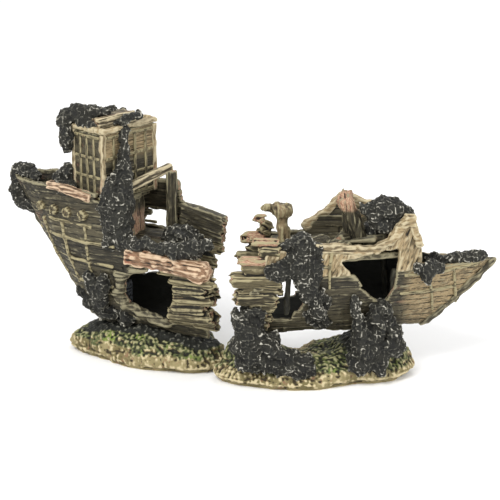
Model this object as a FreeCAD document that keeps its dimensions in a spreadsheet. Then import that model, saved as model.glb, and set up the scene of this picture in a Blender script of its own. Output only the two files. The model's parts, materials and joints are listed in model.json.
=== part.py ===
"""Two-part sunken ship ornament for an aquarium, in cast resin, with an air stone inside the stern half.

Each half is drawn in its own ship frame: origin on the floor under the middle of the rock, +X towards the
bow, +Y to port, +Z up. A half's Placement then sets it down in the common frame, millimetres, +Z up.
"""
import FreeCAD, Part
import math
import os
import Sketcher

Vector = FreeCAD.Vector
doc = FreeCAD.newDocument("SunkenShip")

# ---------------------------------------------------------------- driving dimensions
SIZES = [
    # name, value in mm or degrees, what it is
    ("stern_x", -68.7, "stern half, place of its rock centre"),
    ("stern_y", 8.6, "stern half, place of its rock centre"),
    ("stern_yaw", -24, "stern half, heading, degrees"),
    ("bow_x", 43.3, "bow half, place of its rock centre"),
    ("bow_y", -27.4, "bow half, place of its rock centre"),
    ("bow_yaw", 6, "bow half, heading, degrees"),
    ("stern_fore", 50, "stern hull, from the rock centre to its broken fore edge, starboard"),
    ("stern_fore_port", 34, "stern hull, from the rock centre to its broken fore edge, port"),
    ("stern_foot", 44, "stern hull, from the rock centre aft to the heel of the stern post"),
    ("stern_rake", 62, "how far the stern post leans aft over the hull's height"),
    ("stern_breadth", 64, "stern hull, greatest breadth outside"),
    ("stern_height", 122, "top of the stern hull above the floor"),
    ("stern_keel", 14, "level at which the stern hull would close below"),
    ("bow_aft", 45, "bow hull, from the rock centre aft to its broken edge"),
    ("bow_foot", 68, "bow hull, from the rock centre to the foot of the stem"),
    ("bow_rake", 58, "how far the stem leans forward up to the beak"),
    ("bow_breadth", 60, "bow hull, greatest breadth outside"),
    ("bow_height", 79, "level of the beak's top"),
    ("bow_keel", 27, "level at which the bow hull would close below"),
    ("hull_wall", 4, "wall of the hulls"),
    ("stern_rock_length", 116, "stern rock, length"),
    ("stern_rock_width", 78, "stern rock, width"),
    ("stern_rock_height", 24, "stern rock, height"),
    ("bow_rock_length", 132, "bow rock, length"),
    ("bow_rock_width", 78, "bow rock, width"),
    ("bow_rock_height", 20, "bow rock, height"),
    ("main_deck", 84, "top of the stern half's main deck"),
    ("poop_deck", 114, "top of the deck under the cabin"),
    ("fore_deck", 92, "top of the bow half's raised deck"),
    ("prow_deck", 74, "top of the beak's deck"),
    ("deck_plate", 4, "thickness of the decks"),
    ("cabin_width", 50, "cabin, across the ship"),
    ("cabin_depth", 30, "cabin, along the ship"),
    ("cabin_height", 48, "cabin walls, height"),
    ("cabin_wall", 3, "cabin walls, thickness"),
    ("cabin_twist", -18, "cabin, turn against the hull, degrees"),
    ("roof_plate", 4, "cabin roof, thickness"),
    ("roof_lip", 1.5, "cabin roof, overhang all round"),
    ("roof_recess", 1.8, "depth of the recess inside the roof's rim"),
    ("bar_width", 2, "window bars, width"),
    ("bar_proud", 1, "window bars and battens, height above their wall"),
    ("post_side", 6, "posts and lintels, side of the square"),
    ("porch_width", 46, "porch, across the ship"),
    ("rail_height", 6, "rails, height"),
    ("rail_width", 6, "rails, width"),
    ("beam_length", 60, "broken wale beam, length"),
    ("beam_height", 11, "broken wale beam, height"),
    ("beam_width", 9, "broken wale beam, width"),
    ("batten_width", 2.4, "battens on the hulls, width"),
    ("boss_radius", 3.6, "round bosses on the stern quarter"),
    ("boss_length", 6, "round bosses, length with the sunk part"),
    ("strake_height", 9, "broken strakes, height of one"),
    ("plank_plate", 3.5, "loose planks, thickness"),
    ("strake_plate", 5, "broken strakes, thickness"),
    ("keel_side", 6, "stern post and stem, thickness across"),
    ("keel_depth", 6, "stern post and stem, depth outside the hull"),
    ("mast_radius", 5, "mast stump, radius at its foot"),
    ("mast_height", 40, "mast stump, height"),
    ("barrel_radius", 5, "barrels, radius at the belly"),
    ("barrel_length", 15, "barrels, length"),
    ("coral_radius", 6, "coral crust, radius of one lump"),
    ("bedding", 1, "how deep one cemented piece sits in the next"),
    ("tube_radius", 2.5, "air tube, outer radius, for 4/6 mm airline"),
    ("tube_bore", 1.5, "air tube, bore radius"),
    ("tube_level", 9, "air tube, height of its axis where it leaves the rock"),
    ("spigot_length", 12, "air tube, free length for the airline"),
    ("collar_radius", 3.6, "air tube, radius of the collar that the airline stops against"),
    ("spigot_ease", 0.5, "air tube, how much its tip is eased so that the airline slides on"),
    ("collar_length", 3, "air tube, length of that collar"),
    ("riser_length", 12, "air tube, free length inside the hull"),
    ("stone_radius", 7, "air stone, radius"),
    ("stone_length", 24, "air stone, length"),
    ("stone_clearance", 0.05, "air stone, radial clearance on the riser"),
]
sheet = doc.addObject("Spreadsheet::Sheet", "Sizes")
for row, (alias, value, meaning) in enumerate(SIZES, start=1):
    sheet.set(f"A{row}", alias)
    sheet.set(f"B{row}", str(value))
    sheet.set(f"C{row}", meaning)
    sheet.setAlias(f"B{row}", alias)
doc.recompute()


def size(alias):
    """A driving dimension as a number."""
    return float(sheet.get(alias))


def of(alias, share=1.0):
    """An expression for a share of a driving dimension."""
    return f"Sizes.{alias} * {share:.4f}"


def turned(x, y, z, yaw=0.0, pitch=0.0, roll=0.0):
    return FreeCAD.Placement(Vector(x, y, z), FreeCAD.Rotation(yaw, pitch, roll))


STERN = turned(size("stern_x"), size("stern_y"), 0, size("stern_yaw"))
BOW = turned(size("bow_x"), size("bow_y"), 0, size("bow_yaw"))
STARBOARD, PORT = -1, 1
THIN_EDGE = 0.35
PARTS = {}


def keep(obj, label, placement):
    """Names an object as one of the ornament's pieces and sets it in its half."""
    obj.Label = label
    obj.Placement = placement
    PARTS[label] = obj
    return obj


# ---------------------------------------------------------------- hull form
def share_under_arch(level):
    """Share of the full breadth at a relative height: 0 at the keel, 1 at the wale."""
    return math.sin(math.pi / 2 * min(max(level, 0.02), 1.0)) ** 0.7


def stern_tip(z):
    """Where the raked stern post stands at height z."""
    low = 26.0
    return -size("stern_foot") - size("stern_rake") * (z - low) / (size("stern_height") - low)


def stern_half(x, z):
    """Half breadth of the stern hull outside."""
    wale, start = size("main_deck") + 4, -10.0
    rise = (z - size("stern_keel")) / (wale - size("stern_keel"))
    full = size("stern_breadth") / 2 * share_under_arch(rise)
    full *= 1 - 0.12 * max(0.0, (z - wale) / (size("stern_height") - wale))
    aft = min(max((start - x) / (start - stern_tip(z)), 0.0), 1.0)
    return full * (1 - aft**2.4) ** 0.55


def bow_tip(z):
    """Where the raked stem stands at height z."""
    rise = min(max((z - size("bow_keel")) / (size("bow_height") - size("bow_keel")), 0.0), 1.0)
    return size("bow_foot") + size("bow_rake") * rise**0.8


def bow_half(x, z):
    """Half breadth of the bow hull outside."""
    wale = size("bow_height") + 6
    full = size("bow_breadth") / 2 * share_under_arch((z - size("bow_keel")) / (wale - size("bow_keel")))
    fore = min(max(x / bow_tip(z), 0.0), 1.0)
    return full * (1 - fore**1.9)


HULLS = {
    "stern": {"half": stern_half, "tip": stern_tip, "place": STERN, "breadth": "stern_breadth"},
    "bow": {"half": bow_half, "tip": bow_tip, "place": BOW, "breadth": "bow_breadth"},
}


# ---------------------------------------------------------------- sketches and features
def origin_plane(body, role):
    return next(f for f in body.Origin.OriginFeatures if f.Role == role)


def outline(body, name, role, offset, points):
    """A closed sketch whose every corner is held by two expressions. A point is two (expression, value) pairs."""
    sketch = body.newObject("Sketcher::SketchObject", name)
    sketch.AttachmentSupport = [(origin_plane(body, role), "")]
    sketch.MapMode = "FlatFace"
    sketch.setExpression("AttachmentOffset.Base.z", offset)
    corners = [Vector(across[1], up[1], 0) for across, up in points]
    count = len(corners)
    sketch.addGeometry([Part.LineSegment(corners[i], corners[(i + 1) % count]) for i in range(count)], False)
    for i in range(count):
        sketch.addConstraint(Sketcher.Constraint("Coincident", i, 2, (i + 1) % count, 1))
    for i, point in enumerate(points):
        for kind, (expression, value) in zip(("DistanceX", "DistanceY"), point):
            index = sketch.addConstraint(Sketcher.Constraint(kind, -1, 1, i, 1, value))
            sketch.setExpression(f"Constraints[{index}]", expression)
    return sketch


def new_body(name):
    return doc.addObject("PartDesign::Body", name)


def pad(body, sketch, length, middle=False):
    feature = body.newObject("PartDesign::Pad", sketch.Name + "_pad")
    feature.Profile = sketch
    feature.setExpression("Length", length)
    feature.Midplane = middle
    sketch.Visibility = False
    return feature


def pocket_through(body, sketch):
    """Cuts both ways from the sketch's plane, and checks that it cut something."""
    doc.recompute()
    before = body.Shape.Volume
    feature = body.newObject("PartDesign::Pocket", sketch.Name + "_cut")
    feature.Profile = sketch
    feature.Type = 1
    feature.Midplane = True
    doc.recompute()
    if body.Shape.Volume > before - 1.0:
        raise RuntimeError(f"{feature.Name} cut nothing")
    return feature


def loft(body, sketches):
    feature = body.newObject("PartDesign::AdditiveLoft", body.Name + "_loft")
    feature.Profile = sketches[0]
    feature.Sections = sketches[1:]
    feature.Ruled = True
    return feature


def band_points(hull, side, z, stations):
    """A waterline of one hull side: the outer line forward to aft, then the inner line back."""
    form = HULLS[hull]
    wall, outer, inner = size("hull_wall"), [], []
    for x in stations:
        half = form["half"](x, z)
        inside = max(half - wall, half * THIN_EDGE)
        share = half / size(form["breadth"])
        place = (f"{x:.3f}", x)
        outer.append((place, (f"{side} * Sizes.{form['breadth']} * {share:.5f}", side * half)))
        outside = f"Sizes.{form['breadth']} * {share:.5f}"
        inside_of = f"{side} * max({outside} - Sizes.hull_wall; {outside} * {THIN_EDGE})"
        inner.append((place, (inside_of, side * inside)))
    return outer + inner[::-1]


def hull_side(label, hull, side, levels, ends, cuts):
    """One side of a hull as a loft through waterlines, with its breaches cut through."""
    form, body = HULLS[hull], new_body(label)
    sketches = []
    for z in levels:
        start, limit = ends
        tip = form["tip"](z) if limit is None else limit
        reach = tip - start
        inset = 3.0 if limit is None else 0.0
        reach -= math.copysign(inset, reach)
        stations = [start + reach * share for share in (0.0, 0.22, 0.45, 0.66, 0.84, 0.95, 1.0)]
        points = band_points(hull, side, z, stations)
        sketches.append(outline(body, f"{label}_{z:.0f}", "XY_Plane", f"{z:.3f}", points))
    loft(body, sketches)
    for number, corners in enumerate(cuts):
        points = [((f"{x:.2f}", x), (f"{z:.2f}", z)) for x, z in corners]
        pocket_through(body, outline(body, f"{label}_breach{number}", "XZ_Plane", "0", points))
    return keep(body, label, form["place"])


def beam(name, start, end, width, height, roll=0.0):
    """A squared timber with eased long edges, its middle line running between two points."""
    line = Vector(*end) - Vector(*start)
    yaw = math.degrees(math.atan2(line.y, line.x))
    pitch = -math.degrees(math.asin(line.z / line.Length))
    box = doc.addObject("Part::Box", name + "_stock")
    box.Length = line.Length
    box.setExpression("Width", width)
    box.setExpression("Height", height)
    box.recompute()
    eased = doc.addObject("Part::Chamfer", name)
    eased.Base = box
    ease = 0.12 * min(box.Width.Value, box.Height.Value)
    long_edges = [i for i, e in enumerate(box.Shape.Edges, 1) if abs(e.tangentAt(e.FirstParameter).x) > 0.9]
    eased.Edges = [(i, ease, ease) for i in long_edges]
    middle = turned(0, -box.Width.Value / 2, -box.Height.Value / 2)
    line_place = FreeCAD.Placement(Vector(*start), FreeCAD.Rotation(yaw, pitch, roll))
    eased.Placement = line_place.multiply(middle)
    return eased


def spar(name, start, end, radius, tip_share=1.0):
    """A round timber, tapering towards its end."""
    line = Vector(*end) - Vector(*start)
    cone = doc.addObject("Part::Cone", name)
    cone.setExpression("Radius1", radius)
    cone.setExpression("Radius2", f"({radius}) * {tip_share:.3f}")
    cone.Height = line.Length
    cone.Placement = FreeCAD.Placement(Vector(*start), FreeCAD.Rotation(Vector(0, 0, 1), line))
    return cone


def together(label, pieces, placement, fuse=True):
    """Several pieces kept as one named node: fused where they meet, or left as separate like solids."""
    fuse = fuse and len(pieces) > 1
    group = doc.addObject("Part::MultiFuse" if fuse else "Part::Compound", label)
    if fuse:
        group.Shapes = pieces
    else:
        group.Links = pieces
    return keep(group, label, placement)


def crust(label, hull, lumps):
    """Coral as six-sided lumps, each turned its own way. A lump is its middle and its share of coral_radius."""
    blocks = []
    for number, (x, y, z, share) in enumerate(lumps):
        block = doc.addObject("Part::Prism", f"{label}_lump{number}")
        block.Polygon = 6
        block.setExpression("Circumradius", of("coral_radius", share))
        block.setExpression("Height", of("coral_radius", 1.7 * share))
        turn = FreeCAD.Rotation(37 * number + 10, 23 * number + 15, 11 * number)
        down = turn.multVec(Vector(0, 0, -0.85 * share * size("coral_radius")))
        block.Placement = FreeCAD.Placement(Vector(x, y, z) + down, turn)
        blocks.append(block)
    return together(label, blocks, HULLS[hull]["place"])


def on_hull(hull, side, x, z, out=0.0):
    """A point of a hull side's outer face, moved out by a distance."""
    return (x, side * (HULLS[hull]["half"](x, z) + out), z)


def lump_on_hull(hull, side, x, z, share):
    """A crust lump half sunk in a hull side."""
    return (*on_hull(hull, side, x, z, -0.45 * share * size("coral_radius")), share)


def strip_run(name, hull, side, points, width, proud):
    """A batten that follows a hull side through (x, z) points, as short lengths end to end."""
    middle = proud / 2 - size("bedding") / 2
    height = f"Sizes.bedding + {proud:.3f}"
    places = [on_hull(hull, side, x, z, middle) for x, z in points]
    runs = zip(places, places[1:])
    return [beam(f"{name}_{i}", a, b, height, width) for i, (a, b) in enumerate(runs)]


def rock(label, hull, prefix, waves, pedestals=()):
    """A lumpy stone base: floor outline, a wider belly and a smaller top, then any raised pedestals."""
    body, corners = new_body(label), 16
    sketches = []
    for step, (rise, spread) in enumerate(((0.0, 0.94), (0.35, 1.0), (0.75, 0.9), (1.0, 0.74))):
        points = []
        for i in range(corners):
            angle = 2 * math.pi * i / corners
            lump = sum(depth * math.cos(count * angle + start) for count, depth, start in waves)
            across = 0.5 * spread * (1 + lump) * math.cos(angle)
            along = 0.5 * spread * (1 + lump) * math.sin(angle)
            pair = ((prefix + "_length", across), (prefix + "_width", along))
            points.append([(f"Sizes.{name} * {share:.5f}", size(name) * share) for name, share in pair])
        offset = f"Sizes.{prefix}_height * {rise}"
        sketches.append(outline(body, f"{label}_level{step}", "XY_Plane", offset, points))
    loft(body, sketches)
    for number, (x, y, wide, deep, z_top) in enumerate(pedestals):
        rings = []
        for z, spread in ((size(prefix + "_height") * 0.6, 1.0), (z_top, 0.6)):
            ring = [(x + wide * spread * math.cos(a), y + deep * spread * math.sin(a))
                    for a in (2 * math.pi * k / 8 for k in range(8))]
            points = [((f"{a:.2f}", a), (f"{b:.2f}", b)) for a, b in ring]
            rings.append(outline(body, f"{label}_pedestal{number}_{z:.0f}", "XY_Plane", f"{z:.2f}", points))
        loft(body, rings)
    return keep(body, label, HULLS[hull]["place"])


def deck(label, hull, level, z, fore, aft):
    """A deck that fills a hull between two places, let into its walls by the bedding."""
    form, stations = HULLS[hull], 7
    reach = [fore + (aft - fore) * i / (stations - 1) for i in range(stations)]
    body = new_body(label)
    points = []
    for side, run in ((STARBOARD, reach), (PORT, reach[::-1])):
        for x in run:
            half = form["half"](x, z)
            share = half / size(form["breadth"])
            edge = f"{side} * (Sizes.{form['breadth']} * {share:.5f} - Sizes.hull_wall + Sizes.bedding)"
            value = side * (half - size("hull_wall") + size("bedding"))
            points.append(((f"{x:.2f}", x), (edge, value)))
    sketch = outline(body, label + "_outline", "XY_Plane", f"Sizes.{level} - Sizes.deck_plate", points)
    pad(body, sketch, "Sizes.deck_plate")
    return keep(body, label, form["place"])


def profile_piece(label, hull, points, thickness):
    """A piece sawn from a board that stands fore and aft on the middle plane."""
    body = new_body(label)
    corners = [((f"{x:.2f}", x), (f"{z:.2f}", z)) for x, z in points]
    sketch = outline(body, label + "_profile", "XZ_Plane", "0", corners)
    pad(body, sketch, thickness, middle=True)
    return keep(body, label, HULLS[hull]["place"])


# ---------------------------------------------------------------- stern half: rock and hull
STERN_LEVELS = (22, 36, 50, 64, 78, 92, 106, size("stern_height"))
FORE = {STARBOARD: size("stern_fore"), PORT: size("stern_fore_port")}
TOP = size("stern_height") + 12

rock_body = rock("stern_rock_body", "stern", "stern_rock", ((2, 0.05, 0.6), (3, 0.05, 2.0), (5, 0.03, 1.0)))
rock_body.Placement = turned(0, 0, 0)
del PARTS["stern_rock_body"]

starboard_cuts = [
    [(-8, 73), (-12, 52), (-4, 36), (20, 31), (42, 35), (44, 56), (42, 74), (16, 76)],
    [(-8, 88), (FORE[STARBOARD] + 8, 88), (FORE[STARBOARD] + 8, TOP), (-28, TOP), (-28, 117), (-12, 112)],
]
port_cuts = [
    [(12, TOP), (12, 107), (30, 101), (FORE[PORT] + 8, 97), (FORE[PORT] + 8, TOP)],
    [(-20, 86), (-13, 98), (3, 97), (8, 88), (0, 85)],
    [(-33, 53), (-28, 62), (-10, 63), (-7, 54), (-14, 50)],
]
hull_side("stern_hull_starboard", "stern", STARBOARD, STERN_LEVELS, (FORE[STARBOARD], None), starboard_cuts)
hull_side("stern_hull_port", "stern", PORT, STERN_LEVELS, (FORE[PORT], None), port_cuts)

post_line = [(stern_tip(z), z) for z in (24, 60, 92, 122)]
profile_piece("stern_post", "stern",
              [(x - size("keel_depth") + 2, z) for x, z in post_line]
              + [(x + size("keel_depth"), z) for x, z in post_line[::-1]], "Sizes.keel_side")

deck("stern_deck", "stern", "main_deck", size("main_deck"), 32, -74)
deck("poop_deck", "stern", "poop_deck", size("poop_deck"), -12, -88)

# ---------------------------------------------------------------- stern half: cabin
CABIN_MIDDLE = (-28, 4)
CABIN = STERN.multiply(turned(*CABIN_MIDDLE, size("poop_deck"), size("cabin_twist")))


def cabin_box(name, inset, floor, height):
    """A box the size of the cabin, smaller by an inset all round, from a floor level in the cabin's frame."""
    box = doc.addObject("Part::Box", name)
    for side, alias in (("Length", "cabin_depth"), ("Width", "cabin_width")):
        box.setExpression(side, f"Sizes.{alias} - 2 * ({inset})")
    box.setExpression("Height", height)
    for axis, alias in (("x", "cabin_depth"), ("y", "cabin_width")):
        box.setExpression(f"Placement.Base.{axis}", f"{inset} - Sizes.{alias} / 2")
    box.setExpression("Placement.Base.z", floor)
    return box


def cut(label, base, tool, placement):
    piece = doc.addObject("Part::Cut", label)
    piece.Base = base
    piece.Tool = tool
    return keep(piece, label, placement)


cut("cabin_walls",
    cabin_box("cabin_block", "0", "0", "Sizes.cabin_height"),
    cabin_box("cabin_room", "Sizes.cabin_wall", "-1", "Sizes.cabin_height + 2"), CABIN)
cut("cabin_roof",
    cabin_box("roof_slab", "-Sizes.roof_lip", "Sizes.cabin_height", "Sizes.roof_plate"),
    cabin_box("roof_well", "Sizes.cabin_wall", "Sizes.cabin_height + Sizes.roof_plate - Sizes.roof_recess",
              "Sizes.roof_plate"), CABIN)

half_deep, half_wide, tall = size("cabin_depth") / 2, size("cabin_width") / 2, size("cabin_height")
CORNER_SIDE = "Sizes.post_side - 2"
posts = []
for number, (ahead, beside) in enumerate(((1, 1), (1, -1), (-1, 1), (-1, -1))):
    foot = (ahead * (half_deep - 1), beside * (half_wide - 1))
    posts.append(beam(f"corner_post{number}", (*foot, 0), (*foot, tall), CORNER_SIDE, CORNER_SIDE))
together("cabin_corner_posts", posts, CABIN, fuse=False)

bars = []
sunk = 0.5 * (size("bar_proud") - size("bedding"))
rail_shares = (0.06, 0.36, 0.64, 0.94)
for ahead in (1, -1):
    face = ahead * (half_deep + sunk)
    for number, share in enumerate(rail_shares):
        z = tall * share
        bars.append(beam(f"front_bar{ahead}_{number}", (face, 3 - half_wide, z), (face, half_wide - 3, z),
                         "Sizes.bar_proud + Sizes.bedding", "Sizes.bar_width"))
    for number, share in enumerate((-0.3, -0.1, 0.1, 0.3)):
        y = share * size("cabin_width")
        bars.append(beam(f"front_mullion{ahead}_{number}", (face, y, tall * 0.06), (face, y, tall * 0.94),
                         "Sizes.bar_width", "Sizes.bar_proud + Sizes.bedding"))
for beside in (1, -1):
    face = beside * (half_wide + sunk)
    for number, share in enumerate(rail_shares):
        z = tall * share
        bars.append(beam(f"side_bar{beside}_{number}", (3 - half_deep, face, z), (half_deep - 3, face, z),
                         "Sizes.bar_proud + Sizes.bedding", "Sizes.bar_width"))
    for number, share in enumerate((-0.22, 0.0, 0.22)):
        x = share * size("cabin_depth")
        bars.append(beam(f"side_mullion{beside}_{number}", (x, face, tall * 0.06), (x, face, tall * 0.94),
                         "Sizes.bar_proud + Sizes.bedding", "Sizes.bar_width"))
PLANK = ("Sizes.post_side", "Sizes.plank_plate")
together("cabin_window_bars", bars, CABIN)

roof_top = tall + size("roof_plate") - size("roof_recess")
wreck = [
    beam(f"roof_plank_{name}", (*start, roof_top + 1.2), (*end, roof_top + rise), *PLANK)
    for name, start, end, rise in (("long", (-8, -19), (3, 12), 4.6), ("cross", (-11, 2), (10, -8), 6.0),
                                   ("short", (2, -18), (9, 6), 3.2))
]
together("roof_wreckage", wreck, CABIN)

# ---------------------------------------------------------------- stern half: porch, rails and broken timbers
PORCH_X = -10
LINTEL = ((PORCH_X, -20, 124), (PORCH_X + 16, 24, 132))
together("porch_lintel", [beam("lintel", *LINTEL, "Sizes.post_side", "Sizes.post_side")], STERN)
porch_posts = []
for number, (x, y, head) in enumerate(((PORCH_X + 2, -18, 122), (PORCH_X + 17, 21, 130))):
    porch_posts.append(beam(f"porch_post{number}", (x, y, size("main_deck") - size("bedding")), (x, y, head),
                            "Sizes.post_side", "Sizes.post_side"))
together("porch_posts", porch_posts, STERN, fuse=False)

bulkhead = doc.addObject("Part::Box", "bulkhead_board")
bulkhead.setExpression("Length", "Sizes.strake_plate")
bulkhead.setExpression("Width", "Sizes.porch_width")
bulkhead.setExpression("Height", "Sizes.poop_deck - Sizes.main_deck - Sizes.deck_plate + 2 * Sizes.bedding")
bulkhead.setExpression("Placement.Base.y", "-Sizes.porch_width / 2")
bulkhead_foot = turned(-20, 0, size("main_deck") - size("bedding"))
together("porch_bulkhead", [bulkhead], STERN.multiply(bulkhead_foot), fuse=False)

rail_top = size("stern_height") + 0.5
rail_points = [(-66, rail_top), (-48, rail_top - 1.5), (-30, rail_top - 4.5)]
rail_places = [on_hull("stern", STARBOARD, x, z, -0.5 * size("rail_width") + 1.5) for x, z in rail_points]
together("quarter_rail", [beam(f"quarter_rail_{i}", a, b, "Sizes.rail_width", "Sizes.rail_height")
                          for i, (a, b) in enumerate(zip(rail_places, rail_places[1:]))], STERN)

bosses = []
for number, (x, z) in enumerate(((-72, 106.5), (-60, 106.3), (-48, 106), (-35, 105.6))):
    boss = doc.addObject("Part::Cylinder", f"boss{number}")
    boss.setExpression("Radius", "Sizes.boss_radius")
    boss.setExpression("Height", "Sizes.boss_length")
    start = on_hull("stern", STARBOARD, x, z, 3.0 - size("boss_length"))
    facing = FreeCAD.Rotation(Vector(0, 0, 1), Vector(-0.18, -1, 0))
    boss.Placement = FreeCAD.Placement(Vector(*start), facing)
    bosses.append(boss)
together("porthole_bosses", bosses, STERN, fuse=False)

battens = {
    "wale": [(-80, 88), (-60, 87.5), (-36, 87), (-10, 87)],
    "upper": [(-88, 100), (-62, 99), (-28, 98)],
    "middle": [(-70, 74), (-46, 73), (-12, 72)],
    "lower": [(-60, 58), (-42, 57), (-14, 56)],
    "rib_aft": [(-72, 98), (-66, 76), (-56, 56)],
    "rib_middle": [(-54, 98), (-50, 76), (-44, 54)],
    "rib_fore": [(-34, 98), (-32, 76), (-30, 52)],
}
for side, label in ((STARBOARD, "stern_battens_starboard"), (PORT, "stern_battens_port")):
    pieces = []
    for name, points in battens.items():
        if side == PORT and name in ("lower", "rib_fore"):
            continue
        pieces += strip_run(f"{label}_{name}", "stern", side, points, "Sizes.batten_width", size("bar_proud"))
    together(label, pieces, STERN)

beam_level = size("main_deck") - 1.5
beam_side = -size("stern_breadth") / 2 + 1.0
together("wale_beam", [
    beam("wale_beam_stock", (-2, beam_side, beam_level), (size("beam_length") - 2, beam_side, beam_level - 4),
         "Sizes.beam_width", "Sizes.beam_height"),
], STERN, fuse=False)
stub = []
for name, x, z, end, height in (("upper", 6, 100, (45, 27, 94), "Sizes.beam_height"),
                                ("lower", 8, 89, (46, 26, 85), "Sizes.strake_height")):
    stub.append(beam("bulwark_stub_" + name, on_hull("stern", PORT, x, z, -1), end, "Sizes.post_side", height))
together("port_bulwark_stub", stub, STERN)

STRAKE = ("Sizes.strake_plate", "Sizes.strake_height")
strakes = []
for number, z in enumerate((36, 46, 56, 66, 76)):
    for side in (STARBOARD, PORT):
        start = on_hull("stern", side, FORE[side] - 10, z, -2.2)
        reach = 14 + 4 * ((number * 7 + side) % 3)
        end = (start[0] + reach, start[1] - side * 1.5, z - 1.5)
        strakes.append(beam(f"stern_strake{number}_{side}", start, end, *STRAKE))
together("stern_broken_strakes", strakes, STERN)

# ---------------------------------------------------------------- stern half: coral crust
crust("coral_cabin_column", "stern",
      [(-16 - 0.3 * i, -25 + 0.4 * (i % 2), 128 - 8 * i, 0.8 + 0.15 * (i % 3)) for i in range(6)])
crust("coral_cabin_corner", "stern",
      [(-56, -18, 121, 1.0), (-60, -14, 126, 0.9), (-54, -17, 131, 0.8), (-50, -19, 123, 0.8)])
crust("coral_stern_deck", "stern",
      [(13, 7, 86.3, 1.0), (20, 1, 87.1, 1.1), (29, 8, 85.7, 1.03), (24.5, 14.5, 87.9, 0.93),
       (15.2, 15.6, 86.8, 0.84)])
crust("coral_stern_heel", "stern",
      [lump_on_hull("stern", STARBOARD, x, z, share) for x, z, share in
       ((-46, 44, 0.9), (-38, 39, 1.0), (-29, 36, 1.1), (-20, 34, 1.0), (-12, 30, 1.0))])
crust("coral_roof", "stern",
      [(-44, 2, 167.2, 0.8), (-40, 8, 168, 0.9), (-34, 13, 167.4, 0.8), (-28.5, 17.5, 167.3, 0.75)])

# ---------------------------------------------------------------- stern half: air line and stone
RISER = (-22, 0)


def elbow(name, radius, extra=0.0):
    """A bent round rod: out of the rock to port, and up inside the hull, each end longer by the extra."""
    bend, level = 8.0, size("tube_level")
    reach = size("stern_rock_width") / 2 + size("spigot_length") - RISER[1] - bend + extra
    rise = size("stern_rock_height") + size("riser_length") - level - bend + extra
    out = doc.addObject("Part::Cylinder", name + "_out")
    up = doc.addObject("Part::Cylinder", name + "_up")
    corner = doc.addObject("Part::Torus", name + "_corner")
    for piece in (out, up):
        piece.setExpression("Radius", radius)
    out.Height = reach
    up.Height = rise
    corner.Radius1 = bend
    corner.setExpression("Radius2", radius)
    corner.Angle3 = 90
    out.Placement = FreeCAD.Placement(Vector(0, bend, 0), FreeCAD.Rotation(Vector(0, 0, 1), Vector(0, 1, 0)))
    up.Placement = turned(0, 0, bend)
    # the bend is a quarter ring, turned to stand in the YZ plane with its arc at low y and low z
    turn = FreeCAD.Rotation(Vector(0, -1, 0), Vector(0, 0, -1), Vector(1, 0, 0), "ZXY")
    corner.Placement = FreeCAD.Placement(Vector(0, bend, bend), turn)
    fused = doc.addObject("Part::MultiFuse", name)
    fused.Shapes = [out, up, corner]
    return fused


def tube_outside():
    """The tube's outer rod, eased at its tip, with the tapered collar that stands against the rock."""
    to_port = FreeCAD.Rotation(Vector(0, 0, 1), Vector(0, 1, 0))
    ease = size("spigot_ease")
    tip_start = size("stern_rock_width") / 2 + size("spigot_length") - RISER[1] - ease
    collar_start = size("stern_rock_width") / 2 - size("collar_length") - RISER[1]
    pieces = [elbow("tube_rod", "Sizes.tube_radius", -ease)]
    for name, wide, narrow, length, start in (
            ("tip", "Sizes.tube_radius", "Sizes.tube_radius - Sizes.spigot_ease", ease, tip_start),
            ("collar", "Sizes.collar_radius", "Sizes.tube_radius", size("collar_length"), collar_start)):
        cone = doc.addObject("Part::Cone", "tube_" + name)
        cone.setExpression("Radius1", wide)
        cone.setExpression("Radius2", narrow)
        cone.Height = length
        cone.Placement = FreeCAD.Placement(Vector(0, start, 0), to_port)
        pieces.append(cone)
    rod = doc.addObject("Part::MultiFuse", "tube_outside")
    rod.Shapes = pieces
    return rod


TUBE = STERN.multiply(turned(*RISER, size("tube_level")))
cut("air_tube", tube_outside(), elbow("tube_hole", "Sizes.tube_bore", 1.0), TUBE)

STONE_FLOOR = size("stern_rock_height") + 4
stone_depth = size("stern_rock_height") + size("riser_length") - STONE_FLOOR
stone_block = doc.addObject("Part::Cylinder", "stone_block")
stone_block.setExpression("Radius", "Sizes.stone_radius")
stone_block.setExpression("Height", "Sizes.stone_length")
stone_eased = doc.addObject("Part::Fillet", "stone_eased")
stone_eased.Base = stone_block
doc.recompute()
stone_eased.Edges = [(i, 2.0, 2.0) for i, e in enumerate(stone_block.Shape.Edges, 1) if e.Closed]
stone_socket = doc.addObject("Part::Cylinder", "stone_socket")
stone_socket.setExpression("Radius", "Sizes.tube_radius + Sizes.stone_clearance")
stone_socket.Height = stone_depth + 1.5
stone_socket.Placement = turned(0, 0, -1)
cut("air_stone", stone_eased, stone_socket, STERN.multiply(turned(*RISER, STONE_FLOOR)))

tube_way = elbow("tube_way", "Sizes.tube_radius", 0.0)
tube_way.Placement = turned(*RISER, size("tube_level"))
cut("stern_rock_base", rock_body, tube_way, STERN)

# ---------------------------------------------------------------- bow half: rock and hull
BOW_LEVELS = (34, 44, 56, 68, size("bow_height"))
WALL_LEVELS = (size("bow_height"), 94, 108, 122)
AFT = -size("bow_aft")
BULKHEAD_X = 64

rock("bow_rock_base", "bow", "bow_rock", ((2, 0.04, 0.4), (3, 0.05, 1.0), (5, 0.04, 2.2)),
     pedestals=((44, 6, 22, 18, 45), (-44, 8, 14, 14, 44)))

hatch = [(14, 90), (54, 95), (52, 67), (45, 53), (35, 61)]
starboard_cuts = [hatch, [(-38, 47), (-38, 72), (-30, 80), (-15, 78), (-10, 62), (-14, 46)]]
port_cuts = [[(-36, 46), (-34, 70), (-12, 72), (-8, 50)]]
hull_side("bow_hull_starboard", "bow", STARBOARD, BOW_LEVELS, (AFT, None), starboard_cuts)
hull_side("bow_hull_port", "bow", PORT, BOW_LEVELS, (AFT, None), port_cuts)

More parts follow.
